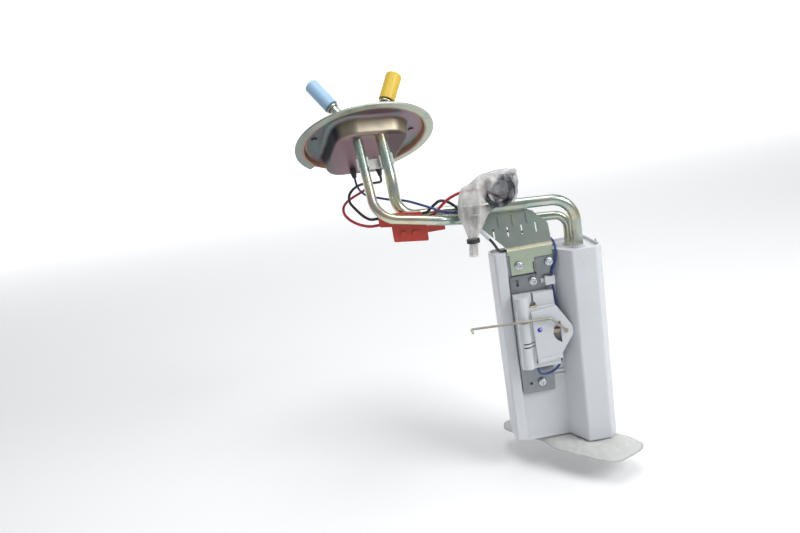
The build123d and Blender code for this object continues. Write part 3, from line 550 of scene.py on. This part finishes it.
@dataclass(frozen=True)
class SlottedCase(Moulded):
    """The sender's case, with painted shade inside its three slots."""

    slots: Sequence[float] = (-0.16945, -0.18895, -0.19225)
    slot_half: float = 0.0006
    left: float = 0.1047
    right: float = 0.1155
    shade: Colour = (0.10, 0.105, 0.12)

    def marks_and_shade(self, s: Shader, colour: Signal) -> Signal:
        """Paints shade on the slots' floors and walls.

        Args:
            s: the material being built.
            colour: the plain plastic's colour.

        Returns:
            The colour with painted shade in its slots.
        """
        spot = s.place()
        height = spot.along((0.0, 0.0, 1.0))
        across = spot.along((1.0, 0.0, 0.0))
        inside = across.above(self.left, 0.0004) * (1 - across.above(self.right, 0.0004))
        # Painted shade in the three slots.
        for level in self.slots:
            band = 1 - (height - level).size().above(self.slot_half, 0.0001)
            colour = s.mix(band * inside * 0.8, colour, self.shade)
        return colour


@dataclass(frozen=True)
class Vinyl:
    """Extruded insulation or soft rubber."""

    name: str
    base: Colour = (0.03, 0.03, 0.032)
    roughness: float = 0.36
    bumpy: float = 0.2

    def make(self) -> bpy.types.Material:
        """Even colour with dust, faint kinks and talc.

        Returns:
            The finished material.
        """
        s = Shader(self.name)
        dust = s.grain(420.0, 5.0, 0.65)
        kinks = s.grain(170.0, 2.0, 0.5)
        pale = tuple(min(1.0, c * 1.2 + 0.05) for c in self.base)
        colour = s.mix(dust.above(0.6, 0.2) * 0.4, self.base, pale)
        return s.finish(Base_Color=colour, Roughness=self.roughness + 0.2 * dust - 0.06,
                        Normal=s.bump(kinks + dust * 0.4, self.bumpy, 0.0001))


@dataclass(frozen=True)
class SealRubber:
    """Glossy black seal rubber with talc left in its folds, and painted highlight streaks."""

    name: str
    base: Colour = (0.022, 0.023, 0.028)
    talc: Colour = (0.20, 0.22, 0.26)

    def make(self) -> bpy.types.Material:
        """Black with blue grey streaks, talc and painted highlights, and a wet looking gloss.

        Returns:
            The finished material.
        """
        s = Shader(self.name)
        streak = s.grain(230.0, 4.0, 0.6, (1.0, 1.0, 0.35))
        # The pale streaks are painted highlights as well as talc.
        colour = s.mix(streak.above(0.56, 0.1) * 0.75, self.base, self.talc)
        return s.finish(Base_Color=colour, Roughness=0.18 + 0.4 * streak.above(0.55, 0.2),
                        Normal=s.bump(streak, 0.5, 0.0008))


@dataclass(frozen=True)
class ClearFilm:
    """Thin clear film, crinkled, a little milky where it folds."""

    name: str
    tint: Colour = (0.46, 0.44, 0.42)
    milk: Colour = (0.74, 0.72, 0.69)
    clear: float = 0.44
    seal: Point = (0.1010, -0.0790, -0.0530)
    seal_long: float = 0.0185
    seal_short: float = 0.0105
    seal_slant: float = 42.0
    soot: Colour = (0.030, 0.033, 0.040)
    # Pale streaks over the seal ring: painted highlights as well as talc.
    talc: Colour = (0.30, 0.32, 0.35)

    def make(self) -> bpy.types.Material:
        """Milky film, brighter and denser along its folds, dark over the seal ring with painted
        highlight streaks.

        Returns:
            The finished material.
        """
        s = Shader(self.name)
        spot = s.place()
        crinkle = s.grain(70.0, 3.0, 0.5, (1.6, 1.0, 0.30))
        fold = s.grain(38.0, 2.0, 0.45, (1.5, 1.0, 0.28))
        crease = (1 - (fold - 0.5).size() * 9.0).clamped()
        milky = (crease * 0.6 + crinkle.above(0.54, 0.3) * 0.4).clamped()
        colour = s.mix(milky, self.tint, self.milk)
        x, _, z = self.seal
        slant = math.radians(self.seal_slant)
        ahead = (math.cos(slant), 0.0, math.sin(slant))
        aside = (-math.sin(slant), 0.0, math.cos(slant))
        far = (spot.along(ahead) - (x * ahead[0] + z * ahead[2])) * (1 / self.seal_long)
        wide = (spot.along(aside) - (x * aside[0] + z * aside[2])) * (1 / self.seal_short)
        uneven = (crinkle - 0.5) * 0.5
        pressed = 1 - (far.hypot(wide) + uneven).above(1.0, 0.16)
        # Over the seal ring the film takes the ring's black, with painted highlight streaks.
        streak = s.grain(190.0, 4.0, 0.6, (1.0, 1.0, 0.6))
        rubber = s.mix(streak.above(0.55, 0.14), self.soot, self.talc)
        colour = s.mix(pressed, colour, rubber)
        normal = s.bump(crease, 0.6, 0.0012, s.bump(crinkle, 0.5, 0.0010))
        cover = (self.clear + 0.40 * milky) * (1 - 0.25 * pressed)
        return s.finish(Base_Color=colour, Alpha=cover, Roughness=0.24, IOR=1.46,
                        Specular_IOR_Level=0.6, Normal=normal)


@dataclass(frozen=True)
class Felt:
    """Needled filter felt, slightly fuzzy, pressed flat at its weld."""

    name: str
    base: Colour = (0.63, 0.64, 0.625)
    fuzz: Colour = (0.54, 0.54, 0.52)

    def make(self) -> bpy.types.Material:
        """Matted fibres with soft lumps.

        Returns:
            The finished material.
        """
        s = Shader(self.name)
        fibre = s.grain(2300.0, 5.0, 0.7, (1.0, 0.35, 1.0))
        lump = s.grain(190.0, 4.0, 0.6)
        colour = s.mix(lump.above(0.5, 0.4), tuple(c * 0.88 for c in self.base), self.base)
        colour = s.mix(fibre * 0.25, colour, self.fuzz)
        normal = s.bump(fibre, 0.5, 0.0002, s.bump(lump, 0.35, 0.0006))
        return s.finish(Base_Color=colour, Roughness=0.95, Sheen_Weight=0.25,
                        Specular_IOR_Level=0.2, Normal=normal)


SENDER_PLASTIC: Colour = (0.58, 0.60, 0.625)


class Finish(Enum):
    """Finishes that a node or a piece can carry."""

    FLANGE = PressedFlange("flange_chromate_and_shade")
    BRACE = ChromatedSheet("brace_chromate", base=(0.40, 0.42, 0.36))
    BRACKET = FoldedBracket("bracket_chromate", base=(0.36, 0.41, 0.37), warm=(0.42, 0.50, 0.34),
                            cool=(0.34, 0.43, 0.38), gold=(0.46, 0.50, 0.34), patch=30.0)
    TUBE = PlatedTube("tube_zinc_film")
    DARK_STEEL = Steel("sender_plate_steel", base=(0.16, 0.175, 0.19), roughness=0.32)
    SCREW = Steel("screw_zinc", base=(0.58, 0.61, 0.64), roughness=0.2, stretch=(1.0, 1.0, 1.0))
    WIRE_ARM = Steel("arm_wire_zinc", base=(0.36, 0.34, 0.29), roughness=0.3,
                     stretch=(0.05, 1.0, 1.0))
    BRASS = Steel("contact_brass", base=(0.46, 0.40, 0.26), roughness=0.28)
    PUMP_STEEL = Steel("pump_can_steel", base=(0.60, 0.61, 0.62), roughness=0.28)
    CORE = Steel("motor_core_steel", base=(0.33, 0.31, 0.30), roughness=0.5)
    FERRITE = Moulded("magnet_ferrite", base=(0.10, 0.10, 0.11), roughness=0.7, grain=0.5)
    CARBON = Moulded("brush_carbon", base=(0.07, 0.07, 0.07), roughness=0.6, grain=0.6)
    CARD = Moulded("card_ceramic", base=(0.80, 0.78, 0.72), roughness=0.55)
    WHITE = Moulded("white_acetal", base=(0.60, 0.62, 0.65), roughness=0.36, soft=0.1)
    SENDER_WHITE = Moulded("sender_acetal", base=SENDER_PLASTIC, roughness=0.32, soft=0.1)
    BLACK = Moulded("black_nylon", base=(0.035, 0.035, 0.04), roughness=0.42)
    RED = Moulded("red_nylon", base=(0.50, 0.05, 0.03), roughness=0.3, soft=0.05)
    TAN = Moulded("rotor_acetal", base=(0.55, 0.45, 0.30), roughness=0.4)
    BLUE_CAP = Moulded("blue_polyethylene", base=(0.35, 0.54, 0.74), roughness=0.42,
                       soft=0.2, dust=0.12)
    YELLOW_CAP = Moulded("yellow_polyethylene", base=(0.72, 0.50, 0.045), roughness=0.42,
                         soft=0.2, dust=0.12)
    RUBBER = Vinyl("black_rubber_moulded", roughness=0.5)
    BLACK_WIRE = Vinyl("black_insulation", base=(0.02, 0.02, 0.022), bumpy=0.1)
    SEAL = SealRubber("seal_rubber")
    COVER = InkedCover("cover_acetal", base=SENDER_PLASTIC, roughness=0.32, soft=0.1)
    CASE = SlottedCase("case_acetal", base=SENDER_PLASTIC, roughness=0.32, soft=0.1)
    RED_WIRE = Vinyl("red_insulation", base=(0.40, 0.015, 0.03))
    BLUE_WIRE = Vinyl("blue_insulation", base=(0.025, 0.045, 0.20))
    FILM = ClearFilm("bag_film")
    FELT = Felt("strainer_felt")


class FinishShop:
    """Makes each finish once and lays it on nodes and pieces."""

    def __init__(self) -> None:
        """Starts with no finish made."""
        self.made: Dict[Finish, bpy.types.Material] = {}

    def get(self, finish: Finish) -> bpy.types.Material:
        """The finish's material, made on its first use.

        Args:
            finish: the finish.

        Returns:
            The material.
        """
        if finish not in self.made:
            self.made[finish] = finish.value.make()
        return self.made[finish]

    def lay(self, piece: bpy.types.Object, finish: Finish) -> None:
        """Puts one finish over a whole piece."""
        piece.data.materials.clear()
        piece.data.materials.append(self.get(finish))


# ---------------------------------------------------------------- sub-assemblies


Worn = Tuple[Tuple[Finish, Tuple[str, ...]], ...]
Nodes = Dict[str, bpy.types.Object]


@dataclass(frozen=True)
class SubAssembly:
    """CAD nodes that belong together, and the finish that each one wears."""

    worn: Worn = ()

    def dress(self, shop: FinishShop, nodes: Nodes) -> List[str]:
        """Lays the finishes on the sub-assembly's nodes.

        Args:
            shop: where the finishes come from.
            nodes: the frame's nodes by name.

        Returns:
            The names of the nodes that it dressed.
        """
        done: List[str] = []
        for finish, names in self.worn:
            for name in names:
                shop.lay(nodes[name], finish)
                log.info("%s wears %s", name, finish.value.name)
                done.append(name)
        return done


@dataclass(frozen=True)
class FlangeTop(SubAssembly):
    """Pressed flange with its connector, terminals and boots."""

    worn: Worn = (
        (Finish.FLANGE, ("flange_plate",)),
        (Finish.BLACK, ("bulkhead_connector",)),
        (Finish.BRASS, ("terminal_pins",)),
        (Finish.RUBBER, ("lead_boots",)),
    )


@dataclass(frozen=True)
class FuelLines(SubAssembly):
    """The two bent lines, the strap between them and their transport caps."""

    worn: Worn = (
        (Finish.TUBE, ("supply_tube", "return_tube")),
        (Finish.BRACE, ("tube_brace",)),
        (Finish.BLUE_CAP, ("return_cap",)),
        (Finish.YELLOW_CAP, ("supply_cap",)),
    )


@dataclass(frozen=True)
class Hanger(SubAssembly):
    """Sheet bracket that holds the reservoir, and its screws."""

    worn: Worn = (
        (Finish.BRACKET, ("hanger_bracket",)),
        (Finish.SCREW, ("bracket_screws",)),
    )


@dataclass(frozen=True)
class Reservoir(SubAssembly):
    """White reservoir with its lid and base."""

    worn: Worn = (
        (Finish.WHITE, ("reservoir_shell", "reservoir_cap", "reservoir_base")),
    )


@dataclass(frozen=True)
class FuelPump(SubAssembly):
    """Electric pump, its check valve, hose and isolators."""

    worn: Worn = (
        (Finish.PUMP_STEEL, ("pump_case",)),
        (Finish.CORE, ("pump_armature",)),
        (Finish.FERRITE, ("pump_magnets",)),
        (Finish.CARBON, ("pump_brushes",)),
        (Finish.BLACK, ("pump_inlet_cover", "pump_outlet_cover", "pump_impeller")),
        (Finish.SCREW, ("check_ball", "hose_clamps")),
        (Finish.RUBBER, ("coupling_hose", "isolator_rings")),
    )


@dataclass(frozen=True)
class LevelSender(SubAssembly):
    """Level sender on its plate, with the float arm and the blue lead's clip."""

    worn: Worn = (
        (Finish.DARK_STEEL, ("sender_plate",)),
        (Finish.SCREW, ("sender_screws",)),
        (Finish.CASE, ("sender_housing",)),
        (Finish.COVER, ("sender_cover",)),
        (Finish.TAN, ("wiper_rotor",)),
        (Finish.BRASS, ("wiper_contact", "sender_terminal")),
        (Finish.CARD, ("resistor_card",)),
        (Finish.WIRE_ARM, ("float_arm",)),
        (Finish.SENDER_WHITE, ("lead_clip",)),
    )


@dataclass(frozen=True)
class Wiring(SubAssembly):
    """Leads and the red connector between them."""

    worn: Worn = (
        (Finish.RED, ("connector_plug", "connector_socket")),
        (Finish.BLACK_WIRE, ("flange_lead_black", "ground_lead")),
        (Finish.RED_WIRE, ("flange_lead_red", "pump_lead_red")),
        (Finish.BLUE_WIRE, ("sender_lead",)),
        (Finish.SENDER_WHITE, ("lead_sleeve",)),
    )


# ---------------------------------------------------------------- meshes


def tank(x: float, y: float, z: float) -> Vector:
    """A point given in the reservoir's own millimetres, in the row frame."""
    return (Vector((x, y, z)) + Vector(TANK_ORIGIN)) * MM


def smooth_line(points: Sequence[Point], count: int) -> List[Vector]:
    """A smooth line through a few points.

    Args:
        points: the points it passes.
        count: how many places to hand back.

    Returns:
        Places evenly spread over the points.
    """
    knots = [Vector(p) for p in points]
    knots = [2 * knots[0] - knots[1], *knots, 2 * knots[-1] - knots[-2]]
    spans = len(knots) - 3
    line: List[Vector] = []
    for step in range(count):
        place = step / (count - 1) * spans
        i = min(int(place), spans - 1)
        t = place - i
        a, b, c, d = knots[i:i + 4]
        line.append(0.5 * ((2 * b) + (c - a) * t + (2 * a - 5 * b + 4 * c - d) * t * t
                           + (3 * b - a - 3 * c + d) * t ** 3))
    return line


def skin_rings(name: str, rings: Sequence[Sequence[Vector]]) -> bpy.types.Object:
    """Skins closed rows of points into one mesh.

    Args:
        name: the piece's name.
        rings: rows with the same number of points.

    Returns:
        The new object, linked to the scene.
    """
    rig = bmesh.new()
    rows = [[rig.verts.new(p) for p in row] for row in rings]
    count = len(rows[0])
    for near, far in zip(rows, rows[1:]):
        for i in range(count):
            j = (i + 1) % count
            rig.faces.new((near[i], near[j], far[j], far[i]))
    bmesh.ops.remove_doubles(rig, verts=rig.verts, dist=1e-6)
    bmesh.ops.recalc_face_normals(rig, faces=rig.faces)
    mesh = bpy.data.meshes.new(name)
    rig.to_mesh(mesh)
    rig.free()
    piece = bpy.data.objects.new(name, mesh)
    bpy.context.scene.collection.objects.link(piece)
    return piece


def refine(piece: bpy.types.Object, levels: int) -> None:
    """Adds a subdivision surface and applies it.

    Args:
        piece: the mesh object.
        levels: how often it is subdivided.
    """
    piece.modifiers.new("round", "SUBSURF").levels = levels
    bpy.context.view_layer.update()
    worked = piece.evaluated_get(bpy.context.evaluated_depsgraph_get())
    mesh = bpy.data.meshes.new_from_object(worked)
    piece.modifiers.clear()
    piece.data = mesh


def crumple(piece: bpy.types.Object, folds: Folds, still: Optional[Vector] = None,
            calm: float = 0.030) -> None:
    """Moves a mesh's points along their normals by folded noise.

    Args:
        piece: the mesh object.
        folds: features per metre, the largest move in metres, a shift of the
            pattern, and 0 for soft lumps to 1 for creased film.
        still: a tied place round which the moves fade out.
        calm: how far that fade reaches, in metres.
    """
    size, depth, seed, sharp = folds
    shift = Vector((seed, seed * 0.7, -seed))
    for v in piece.data.vertices:
        held = 1.0
        if still is not None:
            held = min(1.0, max(0.08, (v.co - still).length / calm - 0.45))
        spot = v.co * size + shift
        soft = noise.noise(spot)
        fold = 1.0 - 2.2 * abs(noise.noise(spot * 1.4 + shift))
        v.co += v.normal * depth * held * ((1 - sharp) * soft + sharp * fold)
    piece.data.update()


def settle(piece: bpy.types.Object, shop: FinishShop, finish: Finish, node: str) -> None:
    """Dresses a modelled piece, sets it in its node's place and reports it.

    Args:
        piece: the modelled piece.
        shop: where its finish comes from.
        finish: its finish.
        node: the CAD node that it replaces.
    """
    piece.data.shade_smooth()
    shop.lay(piece, finish)
    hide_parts(node)
    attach(piece, "module")
    log.info("%s: %d faces", piece.name, len(piece.data.polygons))


@dataclass(frozen=True)
class PartsBag(SubAssembly):
    """Clear bag of small parts, gathered in its band and flopped over the feed line."""

    worn: Worn = (
        (Finish.RUBBER, ("bag_tie",)),
        (Finish.SEAL, ("seal_ring",)),
        (Finish.FILM, ("accessory_bag",)),
    )
    spine: Sequence[Point] = (
        (-18.6, -14.0, 5.0), (-17.6, -14.0, 14.0), (-17.4, -14.0, 18.2), (-17.2, -14.0, 23.0),
        (-15.5, -14.0, 33.0), (-14.0, -14.0, 42.0), (-9.5, -14.0, 50.5), (-1.0, -14.0, 56.0),
        (10.0, -14.0, 58.5), (21.0, -14.0, 57.0))
    half_widths: Sequence[float] = (3.6, 3.4, 3.1, 4.6, 9.0, 12.6, 14.0, 13.6, 12.6, 12.0)
    half_depths: Sequence[float] = (3.4, 3.2, 3.1, 4.4, 7.4, 9.0, 9.6, 9.6, 9.2, 8.6)
    around: int = 48
    along: int = 70
    gathers: int = 9
    tie_place: float = 0.22
    tie_reach: float = 6.0
    turned_in: int = 15
    lining: float = 0.93
    lining_taper: float = 0.012
    folds: Sequence[Folds] = ((48.0, 0.0024, 3.1, 0.6), (110.0, 0.0006, 8.3, 0.6))

    def _row(self, centre: Vector, ahead: Vector, wide: float, deep: float,
             turn: float) -> List[Vector]:
        """One closed row of the film.

        Args:
            centre: the row's middle in tank millimetres.
            ahead: the spine's direction there.
            wide: half width in the spine's plane.
            deep: half depth across it.
            turn: how far along the bag, 0 to 1.

        Returns:
            The row's points in the row frame.
        """
        side = Vector((ahead.z, 0.0, -ahead.x)).normalized()
        tight = max(0.0, 1.0 - abs(turn - self.tie_place) * self.tie_reach)
        row: List[Vector] = []
        for i in range(self.around):
            a = 2 * math.pi * i / self.around
            pleat = 1 + (0.05 + 0.12 * tight) * math.sin(self.gathers * a + 3.0 * turn)
            pleat += 0.05 * math.sin(3 * a + 9.0 * turn) * (1 - tight)
            out = Vector((0, deep * pleat * math.sin(a), 0))
            row.append(tank(*(centre + side * (wide * pleat * math.cos(a)) + out)))
        return row

    def build(self, shop: FinishShop) -> bpy.types.Object:
        """Builds the film and its turned-in mouth.

        Args:
            shop: where the film's finish comes from.

        Returns:
            The bag.
        """
        spine = smooth_line(self.spine, self.along)
        flat = [(w, d, 0.0) for w, d in zip(self.half_widths, self.half_depths)]
        sizes = smooth_line(flat, self.along)
        last = self.along - 1
        outer = [(i, 1.0) for i in range(self.along)]
        inner = [(last - k, self.lining - self.lining_taper * k) for k in range(self.turned_in)]
        rings: List[List[Vector]] = []
        for i, fit in outer + inner:
            ahead = (spine[min(i + 1, last)] - spine[max(i - 1, 0)]).normalized()
            rings.append(self._row(spine[i], ahead, sizes[i].x * fit, sizes[i].y * fit, i / last))
        piece = skin_rings("bag_film", rings)
        refine(piece, 1)
        for folds in self.folds:
            crumple(piece, folds, tank(*self.spine[2]))
        settle(piece, shop, Finish.FILM, "accessory_bag")
        return piece


@dataclass(frozen=True)
class StrainerPouch(SubAssembly):
    """Felt pouch welded round its edge and gripped by the inlet's collar."""

    worn: Worn = (
        (Finish.WHITE, ("strainer_neck",)),
        (Finish.FELT, ("strainer_sock",)),
    )
    length: float = 133.0
    width: float = 48.0
    height: float = 8.0
    turn: float = -41.0
    centre: Point = (48.0, 6.0, -187.5)
    around: int = 120
    rows: int = 22
    crown_edge: float = 0.93
    weld_half: float = 0.45
    folds: Sequence[Folds] = ((55.0, 0.0016, 5.7, 0.35), (170.0, 0.0005, 1.9, 0.2))

    def _outline(self) -> List[Vector]:
        """The pouch's plan as a closed line of evenly spread places.

        Returns:
            The places, in the pouch's own millimetres.
        """
        half, side = self.length / 2, self.width / 2
        corners = [(-half, 0), (-half + 6, -side + 12), (-14, -side + 8), (-5, -side + 1),
                   (half - 26, -side), (half - 11, -side + 3), (half, side - 20),
                   (half - 2, side - 10), (half - 18, side - 3), (0, side),
                   (-half + 12, side - 4)]
        loop = [Vector((x, y, 0.0)) for x, y in corners]
        loop.append(loop[0])
        lengths = [(b - a).length for a, b in zip(loop, loop[1:])]
        total = sum(lengths)
        places: List[Vector] = []
        for i in range(self.around):
            run = i / self.around * total
            for k, part in enumerate(lengths):
                if run <= part:
                    places.append(loop[k].lerp(loop[k + 1], run / part))
                    break
                run -= part
        for _ in range(3):
            places = [(places[i - 1] + 2 * places[i] + places[(i + 1) % self.around]) / 4
                      for i in range(self.around)]
        return places

    def build(self, shop: FinishShop) -> bpy.types.Object:
        """Builds the pouch with its crown, weld rim and creases.

        Args:
            shop: where the felt's finish comes from.

        Returns:
            The pouch.
        """
        outline = self._outline()
        turn = Matrix.Rotation(math.radians(self.turn), 4, "Z")
        rings: List[List[Vector]] = []
        for step in range(2 * self.rows + 1):
            face = 1.0 if step <= self.rows else -1.0
            reach = max(min(step, 2 * self.rows - step) / self.rows, 0.004)
            crown = (1.0 - min(1.0, reach / self.crown_edge) ** 5) ** 0.7
            rim = self.weld_half if reach < 1.0 else 0.0
            lift = face * max(crown * self.height / 2, rim)
            rings.append([tank(*(turn @ Vector((place.x * reach, place.y * reach, lift))
                                 + Vector(self.centre))) for place in outline])
        piece = skin_rings("strainer_felt_pouch", rings)
        for folds in self.folds:
            crumple(piece, folds)
        settle(piece, shop, Finish.FELT, "strainer_sock")
        return piece


# ---------------------------------------------------------------- studio


@dataclass(frozen=True)
class Studio:
    """Floor, soft lights and camera."""

    eye: Point = (0.00539, -0.53465, 0.01564)
    across: Point = (0.98483, -0.05379, -0.16501)
    up: Point = (0.17315, 0.23964, 0.95530)
    lens: float = 26.01
    floor_drop: float = 0.02
    half_width: float = 9.0
    front_edge: float = -4.0
    bend_start: float = 2.2
    bend_radius: float = 1.0
    bend_steps: int = 12
    wall_height: float = 4.0
    air: Colour = (0.93, 0.95, 1.0)
    air_strength: float = 0.38
    aim: Point = (0.08, -0.03, -0.12)

    def camera(self) -> None:
        """Sets the camera at the product view."""
        data = bpy.data.cameras.new("product_camera")
        data.lens = self.lens
        data.sensor_width = 36.0
        data.clip_start = 0.01
        item = bpy.data.objects.new("product_camera", data)
        x = Vector(self.across).normalized()
        y = (Vector(self.up) - x * x.dot(Vector(self.up))).normalized()
        z = x.cross(y)
        turn = Matrix((x, y, z)).transposed().to_4x4()
        item.matrix_world = Matrix.Translation(Vector(self.eye)) @ turn
        bpy.context.scene.collection.objects.link(item)
        bpy.context.scene.camera = item

    def light(self, name: str, place: Point, size: float, power: float) -> None:
        """Adds one soft area light that looks at the object.

        Args:
            name: the light's name.
            place: where it stands.
            size: its side in metres.
            power: its power in watts.
        """
        data = bpy.data.lights.new(name, "AREA")
        data.size = size
        data.energy = power
        item = bpy.data.objects.new(name, data)
        item.location = place
        look = Vector(self.aim) - Vector(place)
        item.rotation_euler = look.to_track_quat("-Z", "Y").to_euler()
        bpy.context.scene.collection.objects.link(item)

    def floor(self, low: float) -> None:
        """A plain pale floor that curves up far behind the object.

        Args:
            low: the floor's height.
        """
        mesh = bpy.data.meshes.new("studio_floor")
        rig = bmesh.new()
        edges = (-self.half_width, self.half_width)
        profile = [(self.front_edge, low)]
        for step in range(self.bend_steps + 1):
            turn = math.pi / 2 * step / self.bend_steps
            profile.append((self.bend_start + self.bend_radius * math.sin(turn),
                            low + self.bend_radius * (1 - math.cos(turn))))
        profile.append((self.bend_start + self.bend_radius, low + self.wall_height))
        strip = [[rig.verts.new((side, y, z)) for side in edges] for y, z in profile]
        for near, far in zip(strip, strip[1:]):
            rig.faces.new((near[0], near[1], far[1], far[0]))
        rig.to_mesh(mesh)
        rig.free()
        mesh.shade_smooth()
        item = bpy.data.objects.new("studio_floor", mesh)
        bpy.context.scene.collection.objects.link(item)
        s = Shader("studio_paper")
        paper = s.mix(s.grain(30.0), (0.93, 0.93, 0.93), (0.95, 0.95, 0.95))
        far = s.place().along((0.0, 1.0, 0.0)).above(1.6, 2.6)
        glow = s.mix(far, (0.0, 0.0, 0.0), (0.62, 0.62, 0.62))
        mesh.materials.append(s.finish(Base_Color=paper, Roughness=0.9, Specular_IOR_Level=0.1,
                                       Emission_Color=glow, Emission_Strength=1.0))
        item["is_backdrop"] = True

    def build(self, low: float) -> None:
        """Makes the whole studio.

        Args:
            low: height of the object's lowest point.
        """
        self.camera()
        self.floor(low - self.floor_drop)
        world = bpy.data.worlds.new("studio_air")
        world.use_nodes = True
        background = world.node_tree.nodes["Background"]
        background.inputs[0].default_value = (*self.air, 1.0)
        background.inputs[1].default_value = self.air_strength
        bpy.context.scene.world = world
        self.light("key_panel", (0.85, -0.60, 0.55), 0.5, 7.5)
        self.light("top_panel", (0.15, -0.15, 1.1), 0.9, 9.0)
        view = bpy.context.scene.view_settings
        view.view_transform = "Standard"
        view.look = "None"
        log.info("studio ready")


def main() -> None:
    """Builds the pieces and the studio round the fixed frame."""
    logging.basicConfig(level=logging.INFO)
    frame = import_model()
    cad_box = [list(corner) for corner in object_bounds()]
    shop = FinishShop()
    nodes: Nodes = frame["nodes"]
    bag, pouch = PartsBag(), StrainerPouch()
    groups = (FlangeTop(), FuelLines(), Hanger(), Reservoir(), FuelPump(), LevelSender(), Wiring(),
              bag, pouch)
    dressed = [name for group in groups for name in group.dress(shop, nodes)]
    bare = sorted(set(nodes) - set(dressed))
    if bare:
        raise ValueError(f"nodes with no finish: {bare}")
    bag.build(shop)
    pouch.build(shop)
    Studio().build(cad_box[0][2])


if __name__ == "__main__":
    main()
